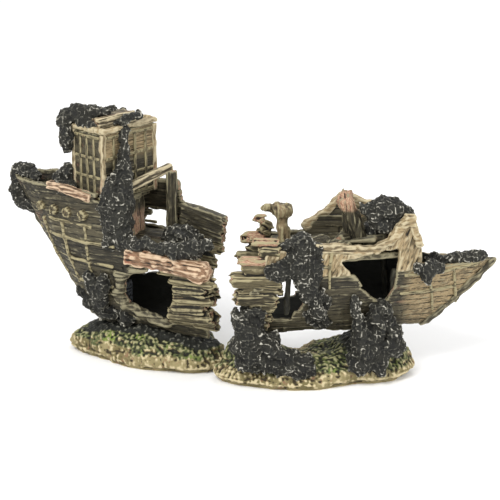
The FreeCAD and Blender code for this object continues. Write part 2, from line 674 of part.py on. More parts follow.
stem_line = [(bow_tip(z), z) for z in (33, 48, 64, 79)]
profile_piece("bow_stem", "bow",
              [(x - size("keel_depth"), z) for x, z in stem_line]
              + [(x + 1.5, z) for x, z in stem_line[::-1]], "Sizes.keel_side")

wall_top = [(-46, 130), (-46, 98), (-2, 97), (35, 93), (46, 98), (60, 114), (66, 112), (70, 92), (78, 76), (90, 76),
            (90, 130)]
port_top = [(-46, 130), (-46, 94), (-2, 94), (12, 106), (24, 118), (40, 110), (66, 108), (70, 92), (78, 76), (90, 76),
            (90, 130)]
hull_side("forecastle_side_starboard", "bow", STARBOARD, WALL_LEVELS, (-36, 70), [wall_top, hatch])
hull_side("forecastle_side_port", "bow", PORT, WALL_LEVELS, (-36, 70), [port_top])

deck("bow_deck", "bow", "fore_deck", size("fore_deck"), -26, BULKHEAD_X - 2)
deck("prow_deck", "bow", "prow_deck", size("prow_deck"), BULKHEAD_X - 2, 112)

bulkhead = doc.addObject("Part::Box", "forecastle_board")
bulkhead.setExpression("Length", "Sizes.strake_plate")
bulkhead.Width = 2 * (bow_half(BULKHEAD_X, 100) - size("hull_wall") + size("bedding"))
bulkhead.setExpression("Height", "Sizes.fore_deck - Sizes.prow_deck + 20")
bulkhead.Placement = turned(0, -bulkhead.Width.Value / 2, 0)
together("forecastle_bulkhead", [bulkhead],
         BOW.multiply(turned(BULKHEAD_X - size("strake_plate") / 2, 0, size("prow_deck") - size("bedding"))))


# ---------------------------------------------------------------- bow half: rails, mast and deck gear
def rail(name, side, points, width, height):
    """A rail along a hull side's top edge, sunk in it by the bedding."""
    places = [on_hull("bow", side, x, z, 1.5 - size("hull_wall") / 2 - 1.0) for x, z in points]
    return [beam(f"{name}_{i}", a, b, width, height) for i, (a, b) in enumerate(zip(places, places[1:]))]


RAIL = ("Sizes.rail_width", "Sizes.rail_height")
rails = rail("starboard_rail", STARBOARD, [(-4, 99.5), (16, 98), (36, 95.5), (48, 101), (61, 116)], *RAIL)
rails += rail("starboard_foot", STARBOARD, [(61, 116), (68, 95)], *RAIL)
rails += rail("port_rail", PORT, [(-4, 96), (12, 106), (24, 119), (40, 112), (60, 112)], *RAIL)
breast_y = bow_half(62, 112) - 2
rails.append(beam("breast_rail", (62, -breast_y, 114), (62, breast_y, 111), *RAIL))
together("forecastle_rail", rails, BOW)

foot = size("fore_deck") - size("bedding")
stump = spar("mast_round", (26, 2, foot), (22, 2, foot + size("mast_height")), "Sizes.mast_radius", 0.8)
step = doc.addObject("Part::Cylinder", "mast_step")
step.setExpression("Radius", "Sizes.mast_radius * 1.5")
step.setExpression("Height", "Sizes.mast_radius")
step.Placement = turned(26, 2, foot)
together("mast_stump", [stump, step], BOW)

barrels = []
for number, (x, y, turn) in enumerate(((-4, -8, 20), (8, -15, -25), (17, -6, 60))):
    barrel = new_body(f"barrel{number}")
    staves = [(f"Sizes.barrel_length * {along}", size("barrel_length") * along) for along in (0, 0, 0.5, 1, 1)]
    swells = [(f"Sizes.barrel_radius * {out}", size("barrel_radius") * out) for out in (0, 0.8, 1, 0.8, 0)]
    sketch = outline(barrel, f"barrel{number}_half", "XY_Plane", "0", list(zip(staves, swells)))
    turning = barrel.newObject("PartDesign::Revolution", f"barrel{number}_turned")
    turning.Profile = sketch
    turning.ReferenceAxis = (sketch, ["H_Axis"])
    turning.Angle = 360
    level = size("fore_deck") + size("barrel_radius") - size("bedding")
    barrel.Placement = turned(x, y, level, turn)
    barrels.append(barrel)
together("deck_barrels", barrels, BOW, fuse=False)

lie = size("fore_deck") + 0.5
wreck = [
    beam("fallen_spar", (6, -4, lie + 1), (40, -20, lie + 9), "Sizes.post_side", "Sizes.plank_plate"),
    beam("fallen_plank", (30, 14, lie + 1), (48, -14, lie + 8), "Sizes.post_side", "Sizes.plank_plate"),
    beam("leaning_plank", (20, 16, lie + 1), (54, 12, lie + 14), "Sizes.post_side", "Sizes.plank_plate"),
]
together("deck_wreckage", wreck, BOW)

post_foot = size("fore_deck") - size("bedding")
bollard = spar("bollard_post", (-19, 12, post_foot), (-20, 12, post_foot + 21), "Sizes.mast_radius * 0.9", 1.0)
head = spar("bollard_head", (-20, 12, post_foot + 19), (-20.3, 12, post_foot + 25), "Sizes.mast_radius * 1.15", 0.9)
together("bollard", [bollard, head], BOW)

planks = []
for number, z in enumerate((52, 61, 70, 79, 88)):
    for side in (STARBOARD, PORT):
        start = on_hull("bow", side, AFT + 10, z, -2.2)
        reach = (14 if side == STARBOARD else 6) + 3 * ((number * 5 + side) % 4)
        end = (start[0] - reach, start[1] - side * 1.5, z + 1.5)
        planks.append(beam(f"bow_plank{number}_{side}", start, end, *STRAKE))
together("bow_broken_strakes", planks, BOW)

battens = {
    "upper": [(-8, 86), (6, 86)],
    "wale": [(58, 76), (76, 75), (96, 76), (112, 77)],
    "middle": [(56, 62), (76, 61), (96, 62)],
    "rib_aft": [(8, 97), (7, 84), (7, 70)],
    "rib_prow": [(76, 74), (80, 57), (82, 44)],
    "rib_tip": [(94, 76), (97, 60), (99, 48)],
}
for side, label in ((STARBOARD, "bow_battens_starboard"), (PORT, "bow_battens_port")):
    pieces = []
    for name, points in battens.items():
        pieces += strip_run(f"{label}_{name}", "bow", side, points, "Sizes.batten_width", size("bar_proud"))
    together(label, pieces, BOW)

frames = []
for number, x in enumerate((-20, 12, 52)):
    for side in (STARBOARD, PORT):
        low, high = [on_hull("bow", side, x, z, -size("hull_wall")) for z in (50, 80)]
        frames.append(beam(f"frame{number}_{side}", low, high, CORNER_SIDE, CORNER_SIDE))
together("inner_frames", frames, BOW, fuse=False)

# ---------------------------------------------------------------- bow half: coral crust
crust("coral_bow_band", "bow",
      [lump_on_hull("bow", STARBOARD, x, z, share) for x, z, share in
       ((-4, 94, 0.9), (-3, 86, 1.0), (-5, 77, 1.0), (-2, 68, 1.1), (2, 60, 1.1), (-2, 52, 1.0), (4, 45, 0.9))])
crust("coral_forecastle", "bow",
      [(40, 0, 95, 1.5), (46, -4, 102, 1.4), (52, -8, 108, 1.2), (50, 4, 104, 1.4), (57, 0, 112, 1.1),
       (44, 6, 100, 1.3)])
crust("coral_prow", "bow",
      [(82, -3, 75, 0.9), (90, -2, 76, 1.0), (98, 0, 77, 0.9), (106, 1, 78, 0.8), (86, 5, 76, 0.9),
       (96, 6, 76, 0.8)])
crust("coral_bow_pillar", "bow",
      [(34, -24, 24, 1.5), (36, -22, 33, 1.5), (40, -20, 42, 1.5), (43, -19, 50, 1.3), (50, -20, 26, 1.3),
       (49, -19, 36, 1.3), (28, -25, 18, 1.2)])
crust("coral_bow_mound", "bow",
      [(-44, -20, 20, 1.6), (-45, -20, 30, 1.6), (-44, -19, 41, 1.5), (-42, -19, 51, 1.3), (-32, -22, 20, 1.6),
       (-34, -21, 32, 1.3), (-20, -25, 17, 1.5), (-10, -27, 16, 1.3)])


# ---------------------------------------------------------------- check and write out
doc.recompute()
for obj in doc.Objects:
    if "Invalid" in obj.State or "Error" in obj.State:
        raise RuntimeError(f"{obj.Name} failed: {obj.State}")
os.makedirs("parts", exist_ok=True)
for label, obj in PARTS.items():
    if obj.Shape.isNull() or not obj.Shape.isValid():
        raise RuntimeError(f"{label} has no valid shape")
    obj.Shape.exportStep(f"parts/{label}.step")
    print(f"{label}: {len(obj.Shape.Solids)} solids, {obj.Shape.Volume / 1000:.2f} cm3")
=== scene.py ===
import json
import math

import bpy
import numpy as np
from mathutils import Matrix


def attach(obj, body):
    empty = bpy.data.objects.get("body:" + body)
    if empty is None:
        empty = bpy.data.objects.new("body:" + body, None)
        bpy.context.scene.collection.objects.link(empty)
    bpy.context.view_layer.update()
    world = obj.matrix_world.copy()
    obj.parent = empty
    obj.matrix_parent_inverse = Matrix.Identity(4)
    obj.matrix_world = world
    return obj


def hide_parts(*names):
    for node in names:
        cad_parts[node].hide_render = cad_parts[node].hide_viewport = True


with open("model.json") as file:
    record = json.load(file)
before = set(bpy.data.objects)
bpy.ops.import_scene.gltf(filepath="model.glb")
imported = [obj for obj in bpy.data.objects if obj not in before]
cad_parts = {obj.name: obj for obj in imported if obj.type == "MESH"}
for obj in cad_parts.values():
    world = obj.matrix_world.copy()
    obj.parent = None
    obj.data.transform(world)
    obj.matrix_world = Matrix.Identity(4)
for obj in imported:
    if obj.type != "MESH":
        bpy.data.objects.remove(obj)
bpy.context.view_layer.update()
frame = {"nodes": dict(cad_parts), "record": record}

import openvdb

MM = 0.001

# ---------------------------------------------------------------- room and camera
# The set stands on a plain pale floor in soft studio light, seen from a little above deck level, square to
# the long side of the bow half.


def put(thing):
    bpy.context.scene.collection.objects.link(thing)


look_at = (0.0009, -0.0134, 0.084)
look_down = math.radians(18)
camera_distance = 1.15
camera_data = bpy.data.cameras.new("camera")
camera_data.lens = 121.8
camera = bpy.data.objects.new("camera", camera_data)
put(camera)
camera.location = (look_at[0], look_at[1] - camera_distance * math.cos(look_down),
                   look_at[2] + camera_distance * math.sin(look_down))
camera.rotation_euler = (math.pi / 2 - look_down, 0, 0)
bpy.context.scene.camera = camera

floor_mesh = bpy.data.meshes.new("floor")
reach = 6.0
floor_mesh.from_pydata([(-reach, -reach, 0), (reach, -reach, 0), (reach, reach, 0), (-reach, reach, 0)], [],
                       [(0, 1, 2, 3)])
floor = bpy.data.objects.new("floor", floor_mesh)
put(floor)
floor_finish = bpy.data.materials.new("floor_paper")
floor_finish.use_nodes = True
floor_shader = floor_finish.node_tree.nodes["Principled BSDF"]
floor_shader.inputs["Base Color"].default_value = (0.93, 0.93, 0.93, 1)
floor_shader.inputs["Roughness"].default_value = 0.9
floor_mesh.materials.append(floor_finish)

world = bpy.data.worlds.new("studio")
world.use_nodes = True
sky = world.node_tree.nodes["Background"].inputs
sky["Color"].default_value = (1.0, 1.0, 1.0, 1)
sky["Strength"].default_value = 0.75
bpy.context.scene.world = world
bpy.context.scene.view_settings.view_transform = "Standard"

for lamp_name, place, side, power in (("key", (-0.7, -1.1, 1.5), 0.7, 26),
                                      ("fill", (1.3, -0.9, 0.9), 1.2, 12),
                                      ("back", (0.3, 1.4, 1.4), 1.0, 10)):
    lamp_data = bpy.data.lights.new(lamp_name, "AREA")
    lamp_data.size = side
    lamp_data.energy = power
    lamp = bpy.data.objects.new(lamp_name, lamp_data)
    lamp.location = place
    toward = -np.array(place) + np.array(look_at)
    flat = math.hypot(toward[0], toward[1])
    lamp.rotation_euler = (math.atan2(flat, -toward[2]), 0, math.atan2(toward[1], toward[0]) - math.pi / 2)
    put(lamp)

# ---------------------------------------------------------------- rock bases
# Each half stands on a cast resin rock with a flat underside, chunky beige stone round its foot and moss on
# top. The real stern rock is drilled for the air tube; here the tube runs into the solid rock.


class Half:
    """One half's own frame in millimetres: origin on the floor under its rock, +x to the bow, +y to port."""

    def __init__(self, body, place, heading):
        angle = math.radians(heading)
        self.body = body
        self.place = np.array(place) / MM
        self.turn = np.array([[math.cos(angle), -math.sin(angle), 0],
                              [math.sin(angle), math.cos(angle), 0],
                              [0, 0, 1]])

    def to_world(self, points):
        return (points @ self.turn.T + self.place) * MM

    def corners(self, node):
        """The corner points of a CAD node's mesh in this frame."""
        vertices = frame["nodes"][node].data.vertices
        places = np.empty(len(vertices) * 3)
        vertices.foreach_get("co", places)
        return (places.reshape(-1, 3) / MM - self.place) @ self.turn

    def span(self, node):
        """Lowest and highest corner of a CAD node in this frame."""
        places = self.corners(node)
        return places.min(0), places.max(0)


mounts = {mount["name"]: mount for mount in frame["record"]["mounts"]}
spigot = mounts["airline_spigot"]
BOW_HEADING = 6
stern = Half("stern_half", mounts["stern_base"]["pos_m"],
             math.degrees(math.atan2(-spigot["axis"][0], spigot["axis"][1])))
bow = Half("bow_half", mounts["bow_base"]["pos_m"], BOW_HEADING)

WRAP = 31
lattice = np.random.default_rng(11).random((WRAP + 1,) * 3).astype(np.float32)
CELL = 0.7
BAND = 9.0


def blended(whole, share, value_of):
    """Blends the values at the eight corners round each place, by how near the place is to each."""
    total = 0
    for i in (0, 1):
        for j in (0, 1):
            for k in (0, 1):
                weight = ((share[0] if i else 1 - share[0]) * (share[1] if j else 1 - share[1])
                          * (share[2] if k else 1 - share[2]))
                total = total + weight * value_of(whole[0] + i, whole[1] + j, whole[2] + k)
    return total


def rough(x, y, z, size, seed=0):
    """Smooth noise from -1 to 1 with lumps of about one size, in mm."""
    whole, share = [], []
    for axis, place in enumerate((x, y, z)):
        place = np.asarray(place, np.float32) / size + 13.7 * seed + 5.3 * axis
        floor_of = np.floor(place)
        between = place - floor_of
        whole.append(floor_of.astype(np.int32) & WRAP)
        share.append(between * between * (3 - 2 * between))
    return 2 * blended(whole, share, lambda i, j, k: lattice[i & WRAP, j & WRAP, k & WRAP]) - 1


def lumpy(x, y, z, size, seed=0, octaves=3):
    """Noise with smaller and smaller lumps on it."""
    return sum(rough(x, y, z, size / 2**i, seed + i) / 2**i for i in range(octaves)) / 1.6


def ridges(x, y, z, size, seed=0):
    """1 along the crests of thin winding ridges, falling to 0 between them."""
    return np.clip(1 - 2.6 * np.abs(rough(x, y, z, size, seed)), 0, 1)


def ramp(value, low, high):
    """0 below low, 1 above high, smooth between. High may be the lower of the two."""
    share = np.clip((value - low) / (high - low), 0, 1)
    return share * share * (3 - 2 * share)


def merge(a, b, soft):
    """Union of two distances with a fillet of about that size."""
    near = np.maximum(soft - np.abs(a - b), 0) / soft
    return np.minimum(a, b) - near * near * soft / 4


class Block:
    """A block of space in a half's frame, with each lattice point's distance to what is carved in it."""

    def __init__(self, low, high, cell=CELL):
        self.low = np.array(low, float) - 3 * cell
        self.cell = cell
        self.counts = [int(math.ceil((b + 3 * cell - a) / cell)) + 1 for a, b in zip(self.low, high)]
        self.far = BAND * cell
        self.distance = np.full(self.counts, self.far, np.float32)

    def window(self, low, high):
        """The slices of a part of the block, and its x, y and z."""
        spans, places = [], []
        for axis in range(3):
            start = max(int((low[axis] - self.low[axis]) / self.cell) - 1, 0)
            stop = min(int((high[axis] - self.low[axis]) / self.cell) + 2, self.counts[axis])
            shape = [1, 1, 1]
            shape[axis] = -1
            spans.append(slice(start, max(stop, start)))
            run = self.low[axis] + self.cell * np.arange(start, max(stop, start))
            places.append(run.astype(np.float32).reshape(shape))
        return tuple(spans), places

    def everywhere(self):
        high = self.low + self.cell * np.array(self.counts)
        return self.window(self.low, high)[1]

    def add(self, low, high, shape, soft=0.0):
        """Adds a shape, a function of x, y and z, that lies between two corners."""
        spans, places = self.window(np.array(low) - 4 * self.cell, np.array(high) + 4 * self.cell)
        here = self.distance[spans]
        if here.size:
            new = shape(*places)
            self.distance[spans] = merge(here, new, soft) if soft else np.minimum(here, new)

    def skin(self):
        """The carved surface as points in mm and quads."""
        d = np.clip(self.distance, -self.far, self.far)
        for axis in range(3):
            edge = [slice(None)] * 3
            for end in (0, -1):
                edge[axis] = end
                d[tuple(edge)] = self.far
        grid = openvdb.FloatGrid(self.far)
        grid.copyFromArray(np.ascontiguousarray(d))
        points, quads = grid.convertToQuads(0.0)
        return points.astype(float) * self.cell + self.low, quads.astype(np.int64)


def normals_of(points, quads):
    """Unit normal at each point."""
    across = points[quads[:, 2]] - points[quads[:, 0]]
    along = points[quads[:, 3]] - points[quads[:, 1]]
    faces = np.cross(across, along)
    total = np.zeros_like(points)
    for axis in range(3):
        for corner in range(4):
            total[:, axis] += np.bincount(quads[:, corner], faces[:, axis], len(points))
    return total / np.maximum(np.linalg.norm(total, axis=1, keepdims=True), 1e-9)


def relief_of(points, quads, normals, near=5, wide=40):
    """How far each point stands out of its surroundings: above 0 on edges and crests, below 0 in grooves."""
    ends = np.concatenate([quads[:, [0, 1]], quads[:, [1, 2]], quads[:, [2, 3]], quads[:, [3, 0]]])
    count = np.maximum(np.bincount(ends.ravel(), minlength=len(points)), 1)
    smooth, result = points.copy(), []
    for step in range(1, wide + 1):
        for axis in range(3):
            column = smooth[:, axis]
            total = (np.bincount(ends[:, 0], column[ends[:, 1]], len(points))
                     + np.bincount(ends[:, 1], column[ends[:, 0]], len(points)))
            smooth[:, axis] = total / count
        if step in (near, wide):
            result.append(np.einsum("ij,ij->i", points - smooth, normals))
    return result


FINE_EDGE, BROAD_EDGE = 0.16, 1.2


def cast(name, nodes, half, block, finish, slot, emboss, marks, body=None):
    """Turns a carved block into a painted piece that stands for its CAD nodes. emboss gives how far each
    point moves along its normal, and marks gives what its paint needs, each from the points and normals."""
    points, quads = block.skin()
    normals = normals_of(points, quads)
    points = points + normals * emboss(points, normals)[:, None]
    normals = normals_of(points, quads)
    fine, broad = relief_of(points, quads, normals)
    known = {"relief": fine / FINE_EDGE, "bulk": broad / BROAD_EDGE, **marks(points, normals)}
    mesh = bpy.data.meshes.new(name)
    mesh.vertices.add(len(points))
    mesh.vertices.foreach_set("co", half.to_world(points).astype(np.float32).ravel())
    mesh.loops.add(4 * len(quads))
    mesh.loops.foreach_set("vertex_index", quads.ravel().astype(np.int32))
    mesh.polygons.add(len(quads))
    mesh.polygons.foreach_set("loop_start", np.arange(0, 4 * len(quads), 4, dtype=np.int32))
    mesh.polygons.foreach_set("use_smooth", np.ones(len(quads), bool))
    mesh.update(calc_edges=True)
    for label, values in known.items():
        flat = values.ndim == 1
        layer = mesh.attributes.new(label, "FLOAT" if flat else "FLOAT_VECTOR", "POINT")
        layer.data.foreach_set("value" if flat else "vector", values.astype(np.float32).ravel())
    mesh.materials.append(finish)
    piece = bpy.data.objects.new(name, mesh)
    put(piece)
    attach(piece, body or half.body)
    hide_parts(*nodes)
    return piece


def colour(code):
    """A paint colour given as the usual six hex digits."""
    channels = [int(code[i:i + 2], 16) / 255 for i in (0, 2, 4)]
    return tuple(c / 12.92 if c <= 0.04045 else ((c + 0.055) / 1.055) ** 2.4 for c in channels) + (1.0,)


class Shade:
    """An output of a shader node. Sums and products of it add Math nodes, and node() adds any other node."""

    def __init__(self, tree, socket=None):
        self.tree = tree
        self.socket = socket

    def node(self, kind, settings=None, sockets=None, out=0):
        made = self.tree.nodes.new("ShaderNode" + kind)
        for name, setting in (settings or {}).items():
            setattr(made, name, setting)
        for name, given in (sockets or {}).items():
            if isinstance(given, Shade):
                self.tree.links.new(given.socket, made.inputs[name])
            else:
                made.inputs[name].default_value = given
        return Shade(self.tree, made.outputs[out])

    def math(self, operation, *terms):
        return self.node("Math", {"operation": operation}, dict(enumerate(terms)))

    def __add__(self, other):
        return self.math("ADD", self, other)

    __radd__ = __add__

    def __sub__(self, other):
        return self.math("SUBTRACT", self, other)

    def __rsub__(self, other):
        return self.math("SUBTRACT", other, self)

    def __mul__(self, other):
        return self.math("MULTIPLY", self, other)

    __rmul__ = __mul__

    def within(self, low, high):
        """0 at low, 1 at high, smooth between."""
        return self.node("MapRange", {"interpolation_type": "SMOOTHSTEP"},
                         {"Value": self, "From Min": low, "From Max": high})

    def mix(self, under, over):
        """The under colour where this is 0, the over colour where it is 1."""
        return self.node("Mix", {"data_type": "RGBA"}, {0: self, 6: under, 7: over}, out=2)

    def noise(self, place, scale, detail=3.0, rough_share=0.55):
        return self.node("TexNoise", None, {"Vector": place, "Scale": scale, "Detail": detail,
                                            "Roughness": rough_share})


def painted(name, roughness):
    """A new material: its shader maths, its Principled shader, and the marks that the mesh carries."""
    finish = bpy.data.materials.new(name)
    finish.use_nodes = True
    shader = finish.node_tree.nodes["Principled BSDF"]
    shader.inputs["Roughness"].default_value = roughness
    shader.inputs["Specular IOR Level"].default_value = 0.35
    shade = Shade(finish.node_tree)

    def mark(label, out=2):
        return shade.node("Attribute", {"attribute_name": label}, out=out)

    return finish, shader, shade, mark


def connect(finish, shader, **sockets):
    for name, shade in sockets.items():
        finish.node_tree.links.new(shade.socket, shader.inputs[name.replace("_", " ")])


def rock_finish():
    """Beige stone with brown clefts, green moss on what faces up, and black painted shade where the hull sits
    on it.
    """
    finish, shader, shade, mark = painted("mossy_rock", 0.75)
    place = mark("grain", out=1)
    relief, bulk, moss, soot = mark("relief"), mark("bulk"), mark("moss"), mark("soot")
    broad_patch = shade.noise(place, 0.07)
    patch = shade.noise(place, 0.28, 4.0)
    speck = shade.noise(place, 1.1, 3.0)
    stone = broad_patch.within(0.38, 0.62).mix(colour("6f6540"), colour("978b63"))
    stone = patch.within(0.56, 0.72).mix(stone, colour("86614a"))
    stone = (relief + speck * 0.8).within(0.8, 1.9).mix(stone, colour("c9ba93"))
    stone = (0 - relief - bulk * 0.6 + speck * 0.5).within(0.45, 1.3).mix(stone, colour("3b321f"))
    green = patch.within(0.35, 0.65).mix(colour("3a3d22"), colour("596038"))
    green = broad_patch.within(0.55, 0.72).mix(green, colour("75863a"))
    green = (relief + speck * 1.2).within(1.0, 2.1).mix(green, colour("98946c"))
    green = (0 - relief + speck * 0.6).within(0.35, 1.2).mix(green, colour("1b1c10"))
    cover = (moss + (patch - 0.5) * 1.1 + (speck - 0.5) * 0.6).within(0.38, 0.66)
    paint = cover.mix(stone, green)
    # Painted shade: black, with lighter specks on the raised bits, where the hull sits on the rock.
    black = (relief + speck).within(1.3, 2.4).mix(colour("20211b"), colour("66655a"))
    paint = (soot + (patch - 0.5) * 0.8).within(0.45, 0.7).mix(paint, black)
    bump = shade.node("Bump", None, {"Height": speck + patch * 1.5, "Strength": 0.5, "Distance": 0.0012})
    connect(finish, shader, Base_Color=paint, Normal=bump, Roughness=0.9 - speck * 0.35)
    return finish


mossy_rock = rock_finish()


def rock(name, node, half, waves, hump, soot):
    """One base: an uneven oval, undercut at the floor and rising to its middle, with clefts round its rim."""
    (x0, y0, _), (x1, y1, z1) = half.span(node)
    long, wide = (x1 - x0) / 2, (y1 - y0) / 2
    middle = ((x0 + x1) / 2, (y0 + y1) / 2)
    block = Block((x0 - 2, y0 - 2, -2), (x1 + 2, y1 + 2, z1 + 8))
    x, y, z = block.everywhere()
    angle = np.arctan2((y - middle[1]) / wide, (x - middle[0]) / long)
    out = np.sqrt(((x - middle[0]) / long) ** 2 + ((y - middle[1]) / wide) ** 2)
    rim = 0.97 + sum(depth * np.cos(count * angle + start) for count, depth, start in waves)
    rim = rim * (1 - 0.1 * ramp(z, 5, 0)) + 0.05 * rough(x, y, z * 0.7, 13, 3)
    side = (out - rim) * min(long, wide) * 0.85
    top = hump(x, y, out) + 2.6 * rough(x, y, 0 * z, 15, 5) + 1.3 * rough(x, y, 0 * z, 7, 6)
    slope = (z - top) * 0.85
    near = np.maximum(6 - np.abs(side - slope), 0) / 6
    solid = np.maximum(side, slope) + near * near * 1.5
    cleft = 1.4 * ridges(x, y, z * 1.6, 19, 8) * ramp(out, 0.55, 0.9)
    solid = np.maximum(solid + cleft + 0.8 * rough(x, y, z, 5, 9), -z)
    block.distance = solid.astype(np.float32)

    def emboss(p, n):
        px, py, pz = p.T
        standing = ramp(pz, 0.6, 2.5)
        fibre = 0.8 * rough(px * 1.2, py * 1.2, pz * 0.5, 2.3, 2) + 0.5 * rough(px, py, pz, 1.5, 4)
        upward = 0.35 + 0.65 * ramp(n[:, 2], 0.1, 0.7)
        return standing * (fibre * upward - 0.5 * ridges(px, py, pz * 2, 8, 12))

    def marks(p, n):
        px, py, pz = p.T
        high = ramp(pz + 4 * rough(px, py, pz, 12, 21), 7, 15)
        facing = ramp(n[:, 2] + 0.3 * rough(px, py, pz, 9, 22), -0.05, 0.5)
        # Grain, moss on high faces that look up, and the painted shade where the hull sits on the rock.
        return {"grain": p, "moss": high * facing, "soot": soot(px, py, pz)}

    return cast(name, [node], half, block, mossy_rock, "rock", emboss, marks)


stern_rock_top = stern.span("stern_rock_base")[1][2]


def stern_hump(x, y, out):
    return stern_rock_top * (1.06 - 0.62 * np.clip(out, 0, 1.2) ** 2.4)


# Painted shade on the stern rock under the hull: near its middle line, and higher up.
def stern_painted_hull_shade(x, y, z):
    return ramp(np.abs(y) / (8 + 0.35 * z), 1.7, 1.0) * ramp(z, 12, 17)


rock("stern_rock", "stern_rock_base", stern, ((2, 0.05, 0.6), (3, 0.05, 2.0), (5, 0.03, 1.0)), stern_hump,
     stern_painted_hull_shade)

bow_base_height = 20.0


def bow_hump(x, y, out):
    """Low in the middle, where the hull stands clear of it, and up to the hull at two shoulders."""
    shoulders = 26 * np.exp(-((x - 45) ** 2 / 420 + (y - 4) ** 2 / 260)) + 22 * np.exp(
        -((x + 45) ** 2 / 170 + (y - 6) ** 2 / 200))
    saddle = 6 * np.exp(-((x + 4) ** 2 / 700 + (y - 10) ** 2 / 700))
    return bow_base_height * (1.0 - 0.6 * np.clip(out, 0, 1.2) ** 2.4) + shoulders - saddle


# Painted shade on the bow rock: its top where the hull sits, and a lower round patch on its starboard side.
def bow_painted_hull_shade(x, y, z):
    return ramp(z, 17, 26) + 0.8 * ramp(z, 11, 17) * ramp(np.hypot(x - 40, y + 18), 24, 12)


rock("bow_rock", "bow_rock_base", bow, ((2, 0.04, 0.4), (3, 0.05, 1.0), (5, 0.04, 2.2)), bow_hump, bow_painted_hull_shade)

# ---------------------------------------------------------------- stern hull
# The stern half's two sides are thin resin castings, painted as dark olive planking with khaki worn edges.
# They are open forward, where the wreck broke, and each broken plank ends at its own length.


def mesh_of(node, half):
    """A CAD node's corners in a half's frame, and its triangles."""
    mesh = frame["nodes"][node].data
    mesh.calc_loop_triangles()
    triangles = np.empty(len(mesh.loop_triangles) * 3, np.int32)
    mesh.loop_triangles.foreach_get("vertices", triangles)
    return half.corners(node), triangles.reshape(-1, 3)


def tapered(start, end, thin, thick):
    """The distance to a round bar from one point to another, with a radius at each end."""
    start, run = np.array(start, float), np.array(end, float) - start
    length = max(float(run @ run), 1e-6)

    def distance(x, y, z):
        along = (x - start[0]) * run[0] + (y - start[1]) * run[1] + (z - start[2]) * run[2]
        share = np.clip(along / length, 0, 1)
        gap = [place - start[axis] - share * run[axis] for axis, place in enumerate((x, y, z))]
        return np.sqrt(gap[0] ** 2 + gap[1] ** 2 + gap[2] ** 2) - thin - share * (thick - thin)

    return distance


def form_of(nodes, half, cell=CELL, room=4, bars=()):
    """A block that holds the distance to CAD nodes of one half, with any round bars run into them."""
    meshes = [mesh_of(node, half) for node in nodes]
    ends = [np.array([end]) + way * max(bar[2:]) for bar in bars for end in bar[:2] for way in (-1, 1)]
    points = np.concatenate([m[0] for m in meshes] + ends)
    block = Block(points.min(0) - room, points.max(0) + room, cell)
    for corners, triangles in meshes:
        grid = openvdb.FloatGrid.createLevelSetFromPolygons(
            (corners - block.low) / cell, triangles=triangles.astype(np.uint32), halfWidth=BAND)
        found = np.empty(block.counts, np.float32)
        grid.copyToArray(found, ijk=(0, 0, 0))
        block.distance = np.minimum(block.distance, found * cell)
    for start, end, thin, thick in bars:
        reach = max(thin, thick)
        block.add(np.minimum(start, end) - reach, np.maximum(start, end) + reach,
                  tapered(start, end, thin, thick), 3.0)
    return block


def value_at(block, x, y, z):
    """The block's distance at any points, taken between its lattice points."""
    whole, share = [], []
    for axis, place in enumerate((x, y, z)):
        place = np.clip((place - block.low[axis]) / block.cell, 0, block.counts[axis] - 1.01)
        whole.append(place.astype(np.int32))
        share.append((place - whole[-1]).astype(np.float32))
    return blended(whole, share, lambda i, j, k: block.distance[i, j, k])


def weather(block, shift_x=0, shift_y=0, shift_z=0, soften=0.0):
    """Pulls the carved shape about by a shift for each lattice point, and rounds its corners."""
    x, y, z = block.everywhere()
    moved = value_at(block, *np.broadcast_arrays(x + shift_x, y + shift_y, z + shift_z))
    for _ in range(int(round(soften / block.cell)) if soften else 0):
        for axis in range(3):
            moved = (np.roll(moved, 1, axis) + 2 * moved + np.roll(moved, -1, axis)) / 4
    block.distance = moved.astype(np.float32)


PLANK = 4.4


def course_of(up, pitch):
    """Which plank each point is on, and how near it is to the seam, from 0 mid plank to 1."""
    level = up / pitch
    course = np.floor(level)
    return course, np.abs(level - course - 0.5) * 2


def pick(number, seed=0):
    """An even random number from 0 to 1 for each whole number."""
    return lattice.ravel()[(number.astype(np.int64) * 7919 + seed * 1031) % lattice.size]


def planking(along, up, side, pitch=PLANK, depth=0.45, seed=0, board=70):
    """Relief of planks that run one way: seams, butts, uneven faces and grain. Also each plank's own tone."""
    course, edge = course_of(up, pitch)
    length = (along + 29 * course) / board
    plank = np.floor(length)
    butt = np.abs(length - plank - 0.5) * 2 * board / 2
    seam = np.maximum(ramp(edge, 0.78, 1.0), 0.4 * ramp(board / 2 - butt, 0.9, 0.0))
    own = pick(course * 31 + plank, seed)
    grain = rough(along * 0.13, up, side, 1.5, seed) + 0.7 * rough(along * 0.3, up, side, 3.4, seed + 1)
    return 0.25 * (own - 0.5) + 0.26 * grain - depth * seam, own


